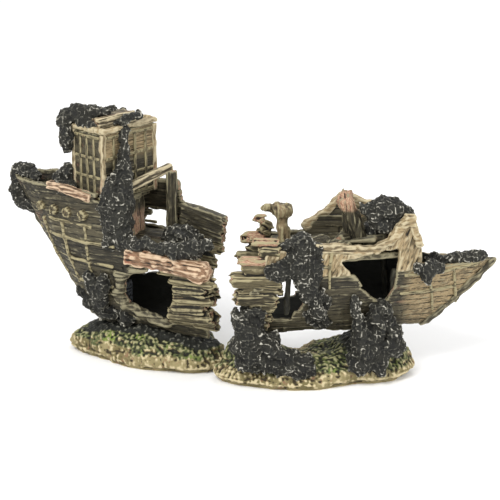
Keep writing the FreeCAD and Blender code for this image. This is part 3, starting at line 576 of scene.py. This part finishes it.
def timber_finish(name, dark, body, light, stripe, stripe_share=0.35, lift=0.0):
    """Painted wood grain: a dark wash in the seams, streaks along the grain, worn edges brushed light, and
    painted shade.
    """
    finish, shader, shade, mark = painted(name, 0.62)
    grain = mark("grain", out=1)
    relief, bulk, tone, raw, pale = mark("relief"), mark("bulk"), mark("tone"), mark("raw"), mark("pale")
    streak = shade.noise(grain, 1.0, 4.0, 0.65)
    fibre = shade.noise(grain, 3.2, 3.0, 0.6)
    patch = shade.noise(grain, 0.11, 3.0)
    paint = (streak + tone * 0.35).within(0.45, 0.85).mix(colour(dark), colour(body))
    paint = (patch + streak * 0.4).within(0.62 + 0.3 * (1 - stripe_share), 0.95).mix(paint, colour(stripe))
    tan = (streak + patch * 0.5).within(0.6, 0.85).mix(colour("655840"), colour("a18d69"))
    paint = (pale + (patch - 0.5) * 0.5).within(0.25, 0.9).mix(paint, tan)
    paint = (raw + (patch - 0.5) * 0.7).within(0.3, 0.8).mix(
        paint, fibre.within(0.4, 0.62).mix(colour("8a5f4a"), colour("c9ab8c")))
    dry = relief + fibre * 1.7 + streak * 0.9 + bulk * 0.25 + lift
    paint = dry.within(1.35, 2.5).mix(paint, colour(light))
    wash = 0 - relief * 0.9 - bulk * 0.5 + fibre * 0.6
    paint = wash.within(0.45, 1.6).mix(paint, colour("1b1810"))
    # Painted shade: near black inside the hull, low on the hull and on walls and frames in the dark; on the
    # cabin roof the same mark gives its sunk middle a grey tone.
    paint = mark("inner").within(0.35, 0.8).mix(paint, colour("1b1c16"))
    bump = shade.node("Bump", None, {"Height": fibre + streak * 1.4, "Strength": 0.45, "Distance": 0.0008})
    connect(finish, shader, Base_Color=paint, Normal=bump, Roughness=0.8 - fibre * 0.3)
    return finish


dark_timber = timber_finish("dark_timber", "26231a", "4f4937", "8b8469", "6a5140", 0.25, -0.35)
khaki_timber = timber_finish("khaki_timber", "2e291c", "625940", "9c9270", "7a5c42", 0.3, -0.2)
SHEER_RUN, NOWHERE = 70, 900


def hull_side(name, node, half, sign, broken, sag, keel, pale_from=NOWHERE, rim=()):
    """One side of the hull, with its planks pulled to different lengths at every broken edge."""
    block = form_of([node], half, bars=rim)
    x, y, z = block.everywhere()
    course = np.floor(z / PLANK)
    jag = 5.0 * (pick(course, 3 + sign) - 0.5) + 1.5 * rough(x, y * 0.5, z, 5, 4)
    inboard = 1 - ramp(np.abs(x - broken), 50, 75)
    weather(block, jag * inboard + 0 * y, 0, 1.3 * rough(x, 0 * y, z, 8, 6) + 0.6 * rough(x, y, z, 3, 7))

    def emboss(p, n):
        px, py, pz = p.T
        facing = ramp(np.abs(n[:, 1]), 0.25, 0.6)
        board, _ = planking(px, pz + sag * np.square(px / SHEER_RUN), py, seed=5 + sign)
        return facing * board + (1 - facing) * 0.45 * lumpy(px, py, pz, 2.4, 9)

    def marks(p, n):
        px, py, pz = p.T
        course_here, _ = course_of(pz + sag * np.square(px / SHEER_RUN), PLANK)
        # Painted shade: the hull's inner faces darken towards the bottom, and the planks near the keel go
        # dark, with less tan and bare wood, where the hull sits in its rock.
        inside = ramp(-sign * n[:, 1], -0.1, 0.5) * ramp(sign * py, 4, 10)
        low = 0.6 * ramp(pz + 3 * rough(px, py, pz, 12, 3), keel + 14, keel)
        edge = ramp(np.abs(n[:, 0]), 0.55, 0.95) * ramp(sign * n[:, 1], 0.4, -0.2)
        return {"grain": p * (0.12, 0.8, 0.9), "tone": pick(course_here, 2), "raw": edge * (1 - low),
                "pale": ramp(px, pale_from, pale_from + 25) * (1 - low),
                "inner": np.maximum(inside * ramp(pz, keel + 75, keel + 50), low)}

    return cast(name, [node], half, block, dark_timber, "dark_timber", emboss, marks)


hole_edge = [(12, -31, 74), (2, -30, 73), (-7, -29, 66), (-10, -26, 54), (-7, -22, 44), (2, -18, 36),
             (20, -16, 32)]
RIM_THIN, RIM_THICK = 1.6, 3.8
hole_rim = [(a, b, RIM_THICK, RIM_THICK) for a, b in zip(hole_edge[1:], hole_edge[2:])]
hole_rim.append((hole_edge[0], hole_edge[1], RIM_THIN, RIM_THICK))
hull_side("stern_side_starboard", "stern_hull_starboard", stern, -1, 30, 3.0, 20, rim=hole_rim)
hull_side("stern_side_port", "stern_hull_port", stern, 1, 30, 3.0, 20)

# ---------------------------------------------------------------- bow hull
# The bow half's two sides are the same casting work. The forecastle's raised sides are cast on to them.

hull_side("bow_side_starboard", "bow_hull_starboard", bow, -1, -30, 2.0, 30, 48)
hull_side("bow_side_port", "bow_hull_port", bow, 1, -30, 2.0, 30, 48)
hull_side("forecastle_port", "forecastle_side_port", bow, 1, -30, 2.0, 0, 20)

# ---------------------------------------------------------------- beams and posts
# Beams, posts, rails and broken planks are cast as worn squared timbers, with ragged ends where they broke.
# They are painted dark, khaki, pale or bare, by how worn they are.


def solids_of(node, half):
    """The separate solids of a CAD node, each as its corner points."""
    points, triangles = mesh_of(node, half)
    where = np.unique(np.round(points, 2), axis=0, return_inverse=True)[1].ravel()
    group = np.arange(where.max() + 1)
    ends = where[triangles]
    settled = False
    while not settled:
        lowest = group[ends].min(1)
        before = group.copy()
        for corner in range(3):
            np.minimum.at(group, ends[:, corner], lowest)
        group = group[group]
        settled = np.array_equal(before, group)
    return [points[group[where] == label] for label in np.unique(group)]


class Timber:
    """A worn squared timber that fills the smallest box round some points."""

    def __init__(self, points, seed, worn, torn):
        centred = points - points.mean(0)
        self.axes = np.linalg.eigh(centred.T @ centred)[1].T[::-1]
        for row in range(3):
            biggest = np.argmax(np.abs(self.axes[row]))
            self.axes[row] *= np.sign(self.axes[row][biggest])
        spread = centred @ self.axes.T
        self.half = (spread.max(0) - spread.min(0)) / 2
        self.middle = points.mean(0) + ((spread.max(0) + spread.min(0)) / 2) @ self.axes
        self.seed, self.worn, self.torn = seed, worn, torn

    def local(self, x, y, z):
        gap = [x - self.middle[0], y - self.middle[1], z - self.middle[2]]
        return [sum(gap[i] * self.axes[row][i] for i in range(3)) for row in range(3)]

    def distance(self, x, y, z):
        s, a, b = self.local(x, y, z)
        wear = self.worn
        sides = [np.abs(a) - self.half[1] + wear + 0.5 * rough(s * 0.25, a, b, 4, self.seed),
                 np.abs(b) - self.half[2] + wear + 0.5 * rough(s * 0.25, a, b, 4, self.seed + 1)]
        splinter = self.torn * (0.5 + 0.5 * rough(a * 1.1, b * 1.1, np.sign(s) * 7, 2.4, self.seed + 2))
        ends = np.abs(s) - self.half[0] + wear + splinter
        q = [ends] + sides
        outside = np.sqrt(sum(np.square(np.maximum(part, 0)) for part in q))
        return outside + np.minimum(np.maximum(q[0], np.maximum(q[1], q[2])), 0) - wear


def timbers(name, node, half, finish, slot, worn=1.0, torn=0.8, seed=0, extra=(), grooves=0.35, kept=True,
            bare=()):
    """A group of worn timbers, one for each solid of a CAD node if those are kept, and any more given by
    their corner points. Those whose numbers are in bare show bare wood."""
    own = solids_of(node, half) if kept else ()
    stock = [Timber(points, seed + 5 * i, worn, torn) for i, points in enumerate(own)]
    stock += [Timber(np.array(points, float), seed + 70 + 5 * i, worn, torn)
              for i, points in enumerate(extra)]
    reach = [np.abs(t.axes.T) @ t.half for t in stock]
    block = Block(np.min([t.middle - r for t, r in zip(stock, reach)], axis=0) - 1,
                  np.max([t.middle + r for t, r in zip(stock, reach)], axis=0) + 1, CELL * 0.8)
    for t, r in zip(stock, reach):
        block.add(t.middle - r, t.middle + r, t.distance)

    def nearest(p):
        """Lengthwise and crosswise place of each point on the timber that it belongs to."""
        best, place, which = np.full(len(p), 1e9), np.zeros((len(p), 3)), np.zeros(len(p))
        for number, t in enumerate(stock):
            s, a, b = t.local(*p.T)
            gap = t.distance(*p.T)
            mine = gap < best
            best = np.where(mine, gap, best)
            place[mine] = np.stack([s, a, b], 1)[mine]
            which[mine] = number
        return place, which

    def emboss(p, n):
        s, a, b = nearest(p)[0].T
        check = ridges(s * 0.12, a * 1.3, b * 1.3, 3.2, seed + 11)
        fibre = 0.3 * rough(s * 0.14, a, b, 1.4, seed + 8)
        return fibre - grooves * check + 0.2 * rough(s, a, b, 3, seed + 9)

    def marks(p, n):
        place, which = nearest(p)
        long_axis = np.array([t.axes[0] for t in stock])[which.astype(int)]
        end = ramp(np.abs(np.einsum("ij,ij->i", n, long_axis)), 0.5, 0.9)
        return {"grain": place * (0.12, 0.9, 0.9) + which[:, None] * 17.0, "tone": pick(which, seed + 1),
                "raw": np.maximum(end, 0.8 * np.isin(which, bare)), "inner": 0 * end}

    return cast(name, [node], half, block, finish, slot, emboss, marks)


pale_timber = timber_finish("pale_timber", "3b3426", "75674e", "b9ac8c", "8c6248", 0.4, 0.0)
raw_timber = timber_finish("raw_timber", "4a382b", "8d6d52", "cdb395", "9d5c46", 0.65, 0.0)


def plank(start, end, thick, tall):
    """Corner points of a plank on edge that runs from one point to another."""
    return [(x, y + across * thick / 2, z + up * tall / 2) for x, y, z in (start, end)
            for across in (-1, 1) for up in (-1, 1)]


# ---------------------------------------------------------------- decks and bulkheads
# Decks and bulkheads are cast plates with narrow boards. They close the hull and carry what stands on them.


def even(**amounts):
    """Paint marks that are the same all over a piece."""
    return lambda p, n: {label: np.full(len(p), float(amount)) for label, amount in amounts.items()}


def boarded(name, node, half, run, stack, finish, slot, pitch=3.2, depth=0.4, soften=0.8, ragged=1.0, seed=0,
            more=even(), cell=CELL):
    """A cast plate or wall whose boards run one way and are stacked another way."""
    block = form_of([node], half, cell)
    x, y, z = block.everywhere()
    weather(block, ragged * rough(x, y, z, 5, seed + 3), ragged * rough(x, y, z, 5, seed + 4),
            0.4 * ragged * rough(x, y, z, 4, seed + 5), soften)
    run, stack = np.array(run, float), np.array(stack, float)
    out = np.cross(run, stack)

    def emboss(p, n):
        facing = ramp(np.abs(n @ out), 0.4, 0.75)
        board, _ = planking(p @ run, p @ stack, p @ out, pitch, depth, seed, 31)
        return facing * board + (1 - facing) * 0.35 * lumpy(*p.T, 2.2, seed + 6)

    def marks(p, n):
        course, _ = course_of(p @ stack, pitch)
        grain = np.stack([p @ run * 0.12, p @ stack, p @ out], 1)
        none = np.zeros(len(p))
        return {"grain": grain, "tone": pick(course, seed), "raw": none, "inner": none, **more(p, n)}

    return cast(name, [node], half, block, finish, slot, emboss, marks)


for deck, half, seed in (("stern_deck", stern, 20), ("poop_deck", stern, 21), ("bow_deck", bow, 22)):
    boarded(deck + "_boards", deck, half, (1, 0, 0), (0, 1, 0), dark_timber, "dark_timber", seed=seed)


boarded("prow_deck_boards", "prow_deck", bow, (1, 0, 0), (0, 1, 0), pale_timber, "dark_timber", seed=23,
        more=even(pale=0.9))


def ruddy(p, n):
    """The porch's back wall shows bare reddish wood low down."""
    return {"raw": ramp(p[:, 2], 108, 96) * 0.8, "pale": 0.6 * ramp(p[:, 2], 112, 100)}


def shaded(p, n):
    """Painted shade low down on a wall that stands in the dark under the forecastle."""
    return {"inner": ramp(p[:, 2], 92, 82)}


boarded("porch_back_wall", "porch_bulkhead", stern, (0, 0, 1), (0, 1, 0), dark_timber, "dark_timber", seed=24,
        more=ruddy)
boarded("forecastle_front_wall", "forecastle_bulkhead", bow, (0, 0, 1), (0, 1, 0), dark_timber, "dark_timber",
        seed=25, more=shaded)

# ---------------------------------------------------------------- stern cabin
# The cabin is a hollow box set askew on the poop. Its windows are panes of boards behind thin khaki bars, and
# its flat roof has a thick worn rim round a sunk grey top.

CABIN_TWIST = math.radians(-18)
cabin_fore = np.array((math.cos(CABIN_TWIST), math.sin(CABIN_TWIST), 0))
cabin_side = np.array((-math.sin(CABIN_TWIST), math.cos(CABIN_TWIST), 0))
cabin_low, cabin_high = stern.span("cabin_walls")
cabin_mid = (cabin_low + cabin_high) / 2


def cabin_paint(p, n):
    """The front's upper panes are tan, its tall lower panes dark green, and the sides dark olive."""
    front = ramp(n @ cabin_fore, 0.4, 0.8)
    share = (p[:, 2] - cabin_low[2]) / (cabin_high[2] - cabin_low[2])
    # Painted shade darkens the foot of the cabin walls.
    return {"pale": front * (0.25 + 0.75 * ramp(share, 0.55, 0.7)), "inner": 0.3 * ramp(share, 0.12, 0.02)}


boarded("cabin_box", "cabin_walls", stern, cabin_side, (0, 0, 1), dark_timber, "dark_timber", 2.4, 0.42, 0.5,
        0.4, 26, cabin_paint, CELL * 0.85)


def worn(name, node, half, run, finish, slot, soften=0.8, ragged=0.8, seed=0, grain=0.3, more=even(),
         cell=CELL * 0.75, bars=()):
    """A casting in one piece, with its corners worn round and its grain running one way."""
    block = form_of([node], half, cell, bars=bars)
    x, y, z = block.everywhere()
    weather(block, ragged * rough(x, y, z, 4, seed + 3), ragged * rough(x, y, z, 4, seed + 4),
            ragged * rough(x, y, z, 4, seed + 5), soften)
    run = np.array(run, float)

    def lengthwise(p):
        return p - np.outer(p @ run, run) * 0.86

    def emboss(p, n):
        flow = lengthwise(p)
        return grain * rough(*flow.T, 1.5, seed + 7) - grain * ridges(*(flow * 1.2).T, 3.4, seed + 8)

    def marks(p, n):
        return {"grain": lengthwise(p), "tone": 0.5 + 0.5 * rough(*p.T, 14, seed + 9),
                "raw": ramp(np.abs(n @ run), 0.6, 0.95), "inner": np.zeros(len(p)), **more(p, n)}

    return cast(name, [node], half, block, finish, slot, emboss, marks)


def roof_paint(p, n):
    """Grey in the sunk middle of the roof."""
    across = np.abs((p - cabin_mid) @ cabin_side)
    along = np.abs((p - cabin_mid) @ cabin_fore)
    middle = ramp(across, 22, 20) * ramp(along, 12, 10.5) * ramp(n[:, 2], 0.5, 0.8)
    return {"inner": 0.5 * middle, "raw": np.zeros(len(p)), "pale": 1 - middle}


def post_paint(p, n):
    """The lower part of the corner posts is worn to bare orange wood."""
    return {"raw": 0.75 * ramp(p[:, 2], cabin_mid[2] + 4, cabin_mid[2] - 12), "pale": np.full(len(p), 0.7)}


plain_pale = even(raw=0, pale=0.2)
worn("cabin_roof_cap", "cabin_roof", stern, cabin_side, pale_timber, "pale_timber", 2.4, 1.0, 30, 0.25,
     roof_paint)
worn("cabin_bars", "cabin_window_bars", stern, (0, 0, 1), khaki_timber, "pale_timber", 0.0, 0.2, 31, 0.12,
     plain_pale, CELL * 0.65)
worn("cabin_posts", "cabin_corner_posts", stern, (0, 0, 1), pale_timber, "pale_timber", 0.8, 0.8, 32, 0.3,
     post_paint)
timbers("roof_planks", "roof_wreckage", stern, pale_timber, "pale_timber", 1.0, 3.0, seed=33)

# ---------------------------------------------------------------- stern post and stem
# The timber that closes each hull at its end rakes outward as it rises. It is cast with the hull and stands a
# little proud of the planks.

for name, node, half, rake, seed in (("stern_post_timber", "stern_post", stern, (-0.54, 0, 0.84), 43),
                                     ("bow_stem_timber", "bow_stem", bow, (0.76, 0, 0.65), 44)):
    worn(name, node, half, rake, dark_timber, "dark_timber", 1.4, 1.0, seed, 0.35)

# ---------------------------------------------------------------- porch
# A pale lintel on two dark posts frames the way from the poop deck under the cabin. They are cast in place
# and their edges are worn round.

timbers("porch_beam", "porch_lintel", stern, pale_timber, "pale_timber", 1.6, 0.8, seed=34)
timbers("porch_uprights", "porch_posts", stern, dark_timber, "dark_timber", 1.4, 0.8, seed=35)

# ---------------------------------------------------------------- rails, wale and trim of the stern
# The quarter rail and the wale beam are heavy timbers worn to bare orange wood. Thin battens cross the
# planks, and four round rosettes sit in a row under the rail.

worn("quarter_rail_timber", "quarter_rail", stern, (1, 0, 0), raw_timber, "raw_timber", 1.0, 0.6, 36, 0.4)
worn("wale_timber", "wale_beam", stern, (1, 0, 0), raw_timber, "raw_timber", 1.4, 1.2, 37, 0.5,
     bars=[((14, -32, 84), (55, -32, 77.5), 4.2, 7.0)])
worn("rosettes", "porthole_bosses", stern, (0, 1, 0), khaki_timber, "pale_timber", 1.6, 0.5, 38, 0.4,
     even(raw=0, pale=0.4), CELL * 0.65)
for side, seed in (("starboard", 39), ("port", 40)):
    worn("stern_trim_" + side, "stern_battens_" + side, stern, (1, 0, 0), khaki_timber, "dark_timber", 0.4,
         0.25, seed, 0.25, plain_pale)

# ---------------------------------------------------------------- broken ends of the stern
# Where the wreck broke, planks stick out of both sides, splintered and flaked. They are cast with the hull
# and brushed khaki over a brown wash.

bulwark_slab = [(x, y, z) for x, levels in ((10, (88, 103)), (42, (82, 96)))
                for y in (25, 29) for z in levels]
timbers("port_bulwark_end", "port_bulwark_stub", stern, dark_timber, "dark_timber", 1.6, 3.5, seed=41,
        extra=[bulwark_slab])
splintered = [plank((20, -29, 76), (60, -30, 77), 8, 9), plank((27, -27, 69), (66, -30, 70), 7, 8),
              plank((29, -25, 61), (60, -29, 64), 8, 9), plank((30, -24, 54), (64, -26, 57), 7, 8),
              plank((26, -21, 46), (57, -24, 50), 8, 9), plank((22, -18, 40), (62, -21, 43), 8, 8),
              plank((33, -24, 82), (36, -20, 44), 9, 6), plank((44, -26, 78), (49, -22, 46), 9, 6)]
timbers("stern_strake_ends", "stern_broken_strakes", stern, khaki_timber, "raw_timber", 2.4, 6.0, seed=42,
        extra=splintered, grooves=0.7)

# ---------------------------------------------------------------- forecastle and deck of the bow
# The forecastle's top rail runs up to a peak at each side. A broken mast, barrels, wreckage and a bollard lie
# and stand on the deck.


def rail_paint(p, n):
    return {"raw": 0.35 * ramp(rough(*p.T, 12, 3), 0.1, 0.6), "pale": np.full(len(p), 0.8)}


worn("forecastle_plate", "forecastle_side_starboard", bow, (0.35, 0, 0.94), pale_timber, "dark_timber", 0.8,
     1.0, 49, 0.3, rail_paint)
worn("forecastle_top_rail", "forecastle_rail", bow, (1, 0, 0), pale_timber, "pale_timber", 1.2, 1.0, 50, 0.35,
     rail_paint)

mast_top = bow.span("mast_stump")[1][2]


def mast_paint(p, n):
    """Bare pink wood where the mast broke, dark below."""
    return {"raw": ramp(p[:, 2], mast_top - 18, mast_top - 9), "pale": np.zeros(len(p))}


def broken_round(name, node, half, finish, slot, splinter, seed, more, bars):
    """A round timber with a splintered top."""
    block = form_of([node], half, CELL * 0.65, bars=bars)
    x, y, z = block.everywhere()
    top = half.span(node)[1][2]
    spikes = splinter * (0.5 + 0.5 * rough(x, y, 0 * z, 2.6, seed)) * ramp(z, top - 16, top - 2)
    weather(block, 0.6 * rough(x, y, z * 0.3, 4, seed + 1), 0.6 * rough(x, y, z * 0.3, 4, seed + 2), spikes,
            0.4)

    def emboss(p, n):
        flow = p * (1, 1, 0.14)
        return 0.5 * rough(*flow.T, 1.6, seed + 3) - 0.6 * ridges(*(flow * 1.2).T, 3.4, seed + 4)

    def marks(p, n):
        return {"grain": p * (1, 1, 0.12), "tone": 0.5 + 0.5 * rough(*p.T, 8, seed),
                "inner": np.zeros(len(p)), **more(p, n)}

    return cast(name, [node], half, block, finish, slot, emboss, marks)


broken_round("mast", "mast_stump", bow, dark_timber, "raw_timber", 7.0, 51, mast_paint,
             [((31, -6, 98), (19.5, -6, 128), 5.0, 5.6)])
worn("bollard_timber", "bollard", bow, (0, 0, 1), khaki_timber, "pale_timber", 1.2, 1.6, 52, 0.5,
     even(raw=0.35, pale=0.5), bars=[((-30, 11, 116), (-17, 12, 114), 3.4, 4.4)])
worn("barrels", "deck_barrels", bow, (0.8, 0.6, 0), dark_timber, "dark_timber", 1.2, 0.8, 53, 0.5)
timbers("deck_planks_loose", "deck_wreckage", bow, dark_timber, "dark_timber", 1.6, 2.5, seed=54)
ledges = []
for start, end, height, tall in ((-24, -47, 103, 5), (-22, -42, 97, 7), (-22, -56, 90, 6), (-22, -52, 84, 8),
                                 (-22, -61, 77, 7), (-22, -55, 71, 8), (-24, -58, 64, 7), (-26, -48, 57, 8),
                                 (-29, -44, 50, 8), (-30, -38, 44, 7)):
    out = 27 * math.sin(math.pi / 2 * min((height - 27) / 58, 1)) ** 0.7
    ledges.append(plank((start, -out, height), (end, 2 - out, height + 1), 7, tall))
    ledges.append(plank((start - 4, out, height), (end + 9, out - 2, height + 1), 6, tall))
timbers("bow_strake_ends", "bow_broken_strakes", bow, khaki_timber, "raw_timber", 2.2, 6.0, seed=55,
        extra=ledges, grooves=0.7, kept=False, bare=(0, 1, 4, 5))
for side, seed in (("starboard", 56), ("port", 57)):
    worn("bow_trim_" + side, "bow_battens_" + side, bow, (1, 0, 0), khaki_timber, "dark_timber", 0.4, 0.25,
         seed, 0.25, plain_pale)
# The frames inside the bow hull get near-black painted shade.
worn("frames_inside", "inner_frames", bow, (0, 0, 1), dark_timber, "dark_timber", 0.8, 0.6, 58, 0.3,
     even(inner=0.7, raw=0))

# ---------------------------------------------------------------- coral crust
# Encrusting coral is cast on where the real wreck's timbers meet: black lumps covered with fine winding
# ridges, their crests brushed white and grey.


def coral_finish():
    finish, shader, shade, mark = painted("coral_crust", 0.7)
    place = mark("grain", out=1)
    relief, crest = mark("relief"), mark("crest")
    patch = shade.noise(place, 0.16, 3.0)
    speck = shade.noise(place, 1.1, 4.0, 0.75)
    fine = shade.noise(place, 3.0, 2.0)
    paint = (patch + speck * 0.4).within(0.5, 0.95).mix(colour("171714"), colour("2b2a22"))
    grey = (crest * 0.45 + relief * 0.35 + speck * 1.3).within(1.1, 2.1)
    paint = grey.mix(paint, colour("5f5d52"))
    white = (crest * 0.4 + relief * 0.3 + speck * 1.8 + patch * 4.0).within(3.8, 4.7)
    paint = white.mix(paint, colour("bdb9ac"))
    bump = shade.node("Bump", None, {"Height": fine + speck, "Strength": 0.5, "Distance": 0.001})
    connect(finish, shader, Base_Color=paint, Normal=bump, Roughness=0.85 - speck * 0.4)
    return finish


coral_crust = coral_finish()


CRUST_SWELL = 0.1


def coral(place, half, seed, chains):
    """A crust over the CAD lumps and over chains of more lumps, each given as x, y, z and radius."""
    node = "coral_" + place
    bars = [(a[:3], b[:3], a[3], b[3]) for chain in chains for a, b in zip(chain, chain[1:])]
    block = form_of([node], half, CELL * 0.8, 7, bars)
    x, y, z = block.everywhere()
    weather(block, *(1.8 * rough(x, y, z, 7, seed + axis) for axis in range(3)), 3.0)
    block.distance = (block.distance - CRUST_SWELL - 1.2 * rough(x, y, z, 5, seed + 3)
                      - 0.9 * ridges(x, y, z, 5.2, seed + 4)).astype(np.float32)
    block.distance = np.maximum(block.distance, 0.6 - z).astype(np.float32)

    def winding(p):
        return ridges(*p.T, 2.7, seed + 5), ridges(*p.T, 1.8, seed + 6)

    def emboss(p, n):
        wide, thin = winding(p)
        return (0.8 * wide + 0.5 * thin - 0.5 + 0.3 * rough(*p.T, 1.5, seed + 7)) * ramp(p[:, 2], 0.7, 2.5)

    def marks(p, n):
        wide, thin = winding(p)
        return {"grain": p, "crest": np.maximum(wide, 0.8 * thin)}

    return cast("crust_" + place, [node], half, block, coral_crust, "coral", emboss, marks)


coral("cabin_column", stern, 60,
      [[(-14, -6, 163, 2.5), (-12, -12, 147, 4), (-10, -18, 131, 6), (-9, -24, 117, 8), (-10, -26, 102, 9),
        (-8, -27, 92, 8)]])
coral("cabin_corner", stern, 61,
      [[(-82, -10, 122, 3), (-91, -6, 124, 4), (-98, -4, 124, 4.5), (-104, -2, 120, 4.5),
        (-103, -3, 111, 4.5), (-97, -6, 104, 5), (-88, -9, 101, 4), (-83, -12, 108, 3)]])
coral("stern_deck", stern, 62,
      [[(-2, -32, 92, 4), (14, -33, 92, 4), (28, -33, 91, 4), (38, -33, 91, 4.5), (49, -31, 93, 5),
        (58, -28, 96, 4)]])
coral("stern_heel", stern, 63,
      [[(-34, -28, 62, 3.5), (-29, -27, 54, 5), (-26, -25, 44, 5)],
       [(-20, -31, 64, 3.5), (-22, -29, 52, 4.5)]])
coral("roof", stern, 64,
      [[(-59, -12, 162, 4), (-54, -13, 169, 5), (-47, -12, 172, 5), (-38, -10, 172, 5), (-30, -6, 172, 4)],
       [(-55, -16, 166, 4), (-53, -18, 158, 4), (-52, -19, 148, 3)],
       [(-42, -18, 168, 3), (-32, -20, 167, 2.5)],
       [(-20, -8, 168, 2), (-14, -4, 171, 2.2), (-8, 2, 172, 2), (-12, 6, 172, 2)]])
coral("bow_band", bow, 65,
      [[(-22, -28, 101, 4), (-12, -29, 104, 5), (-3, -29, 99, 4)], [(-12, -29, 102, 5), (-16, -30, 90, 6),
       (-26, -30, 85, 6), (-33, -30, 86, 4)], [(-16, -30, 88, 6), (-10, -31, 78, 5), (-6, -30, 68, 5),
       (-1, -28, 57, 4), (1, -26, 50, 3)]])
coral("forecastle", bow, 66,
      [[(32, -15, 121, 4), (41, -16, 122, 6), (50, -15, 120, 6.5), (58, -14, 114, 6), (61, -14, 109, 4)],
       [(38, -16, 116, 6), (44, -17, 110, 6)]])
coral("prow", bow, 67,
      [[(94, -6, 82, 3), (104, -4, 82, 3.5), (116, -3, 82, 3)],
       [(67, -22, 82, 3), (76, -18, 79, 4), (86, -13, 78, 3)],
       [(72, -20, 76, 4), (76, -18, 71, 3)]])
coral("bow_pillar", bow, 68,
      [[(24, -26, 62, 2.5), (26, -27, 50, 3.5), (29, -27, 38, 5), (32, -27, 24, 6), (30, -27, 13, 5)],
       [(43, -25, 26, 5), (42, -27, 13, 5)]])
coral("bow_mound", bow, 69,
      [[(-54, -24, 54, 3.5), (-51, -26, 45, 5), (-44, -27, 37, 6), (-33, -28, 31, 5), (-23, -29, 25, 4)],
       [(-50, -26, 32, 6), (-42, -27, 24, 6), (-31, -28, 18, 5), (-22, -28, 14, 4)]])

# ---------------------------------------------------------------- air tube and air stone
# A bent acrylic tube brings air in through the stern's rock, and a grey grit stone pushed on its upper end
# breaks the air into bubbles.


def tube_finish():
    finish, shader, shade, _ = painted("tube_plastic", 0.25)
    place = shade.node("TexCoord", out=3)
    scuff = shade.noise(place, 260.0, 4.0)
    cloud = shade.noise(place, 40.0, 2.0)
    paint = cloud.within(0.35, 0.65).mix(colour("23282b"), colour("2f363a"))
    bump = shade.node("Bump", None, {"Height": scuff, "Strength": 0.15, "Distance": 0.0004})
    connect(finish, shader, Base_Color=paint, Normal=bump, Roughness=0.18 + scuff * 0.3)
    return finish


tube_plastic = tube_finish()
for slot in frame["nodes"]["air_tube"].material_slots:
    slot.material = tube_plastic


def stone_finish():
    finish, shader, shade, mark = painted("grit_stone", 0.95)
    place = mark("grain", out=1)
    grit = shade.noise(place, 2.6, 2.0, 0.7)
    fine = shade.noise(place, 6.0, 2.0)
    paint = (grit + mark("relief") * 0.3).within(0.4, 0.75).mix(colour("2c2f31"), colour("70757a"))
    bump = shade.node("Bump", None, {"Height": grit + fine, "Strength": 0.8, "Distance": 0.0006})
    connect(finish, shader, Base_Color=paint, Normal=bump)
    return finish


grit_stone = stone_finish()
stone_block = form_of(["air_stone"], stern, CELL * 0.7)


def grit(p, n):
    return 0.28 * rough(*p.T, 1.1, 81) + 0.15 * rough(*p.T, 2.3, 82) - 0.1


cast("grit_air_stone", ["air_stone"], stern, stone_block, grit_stone, "air_stone", grit,
     lambda p, n: {"grain": p}, "diffuser")
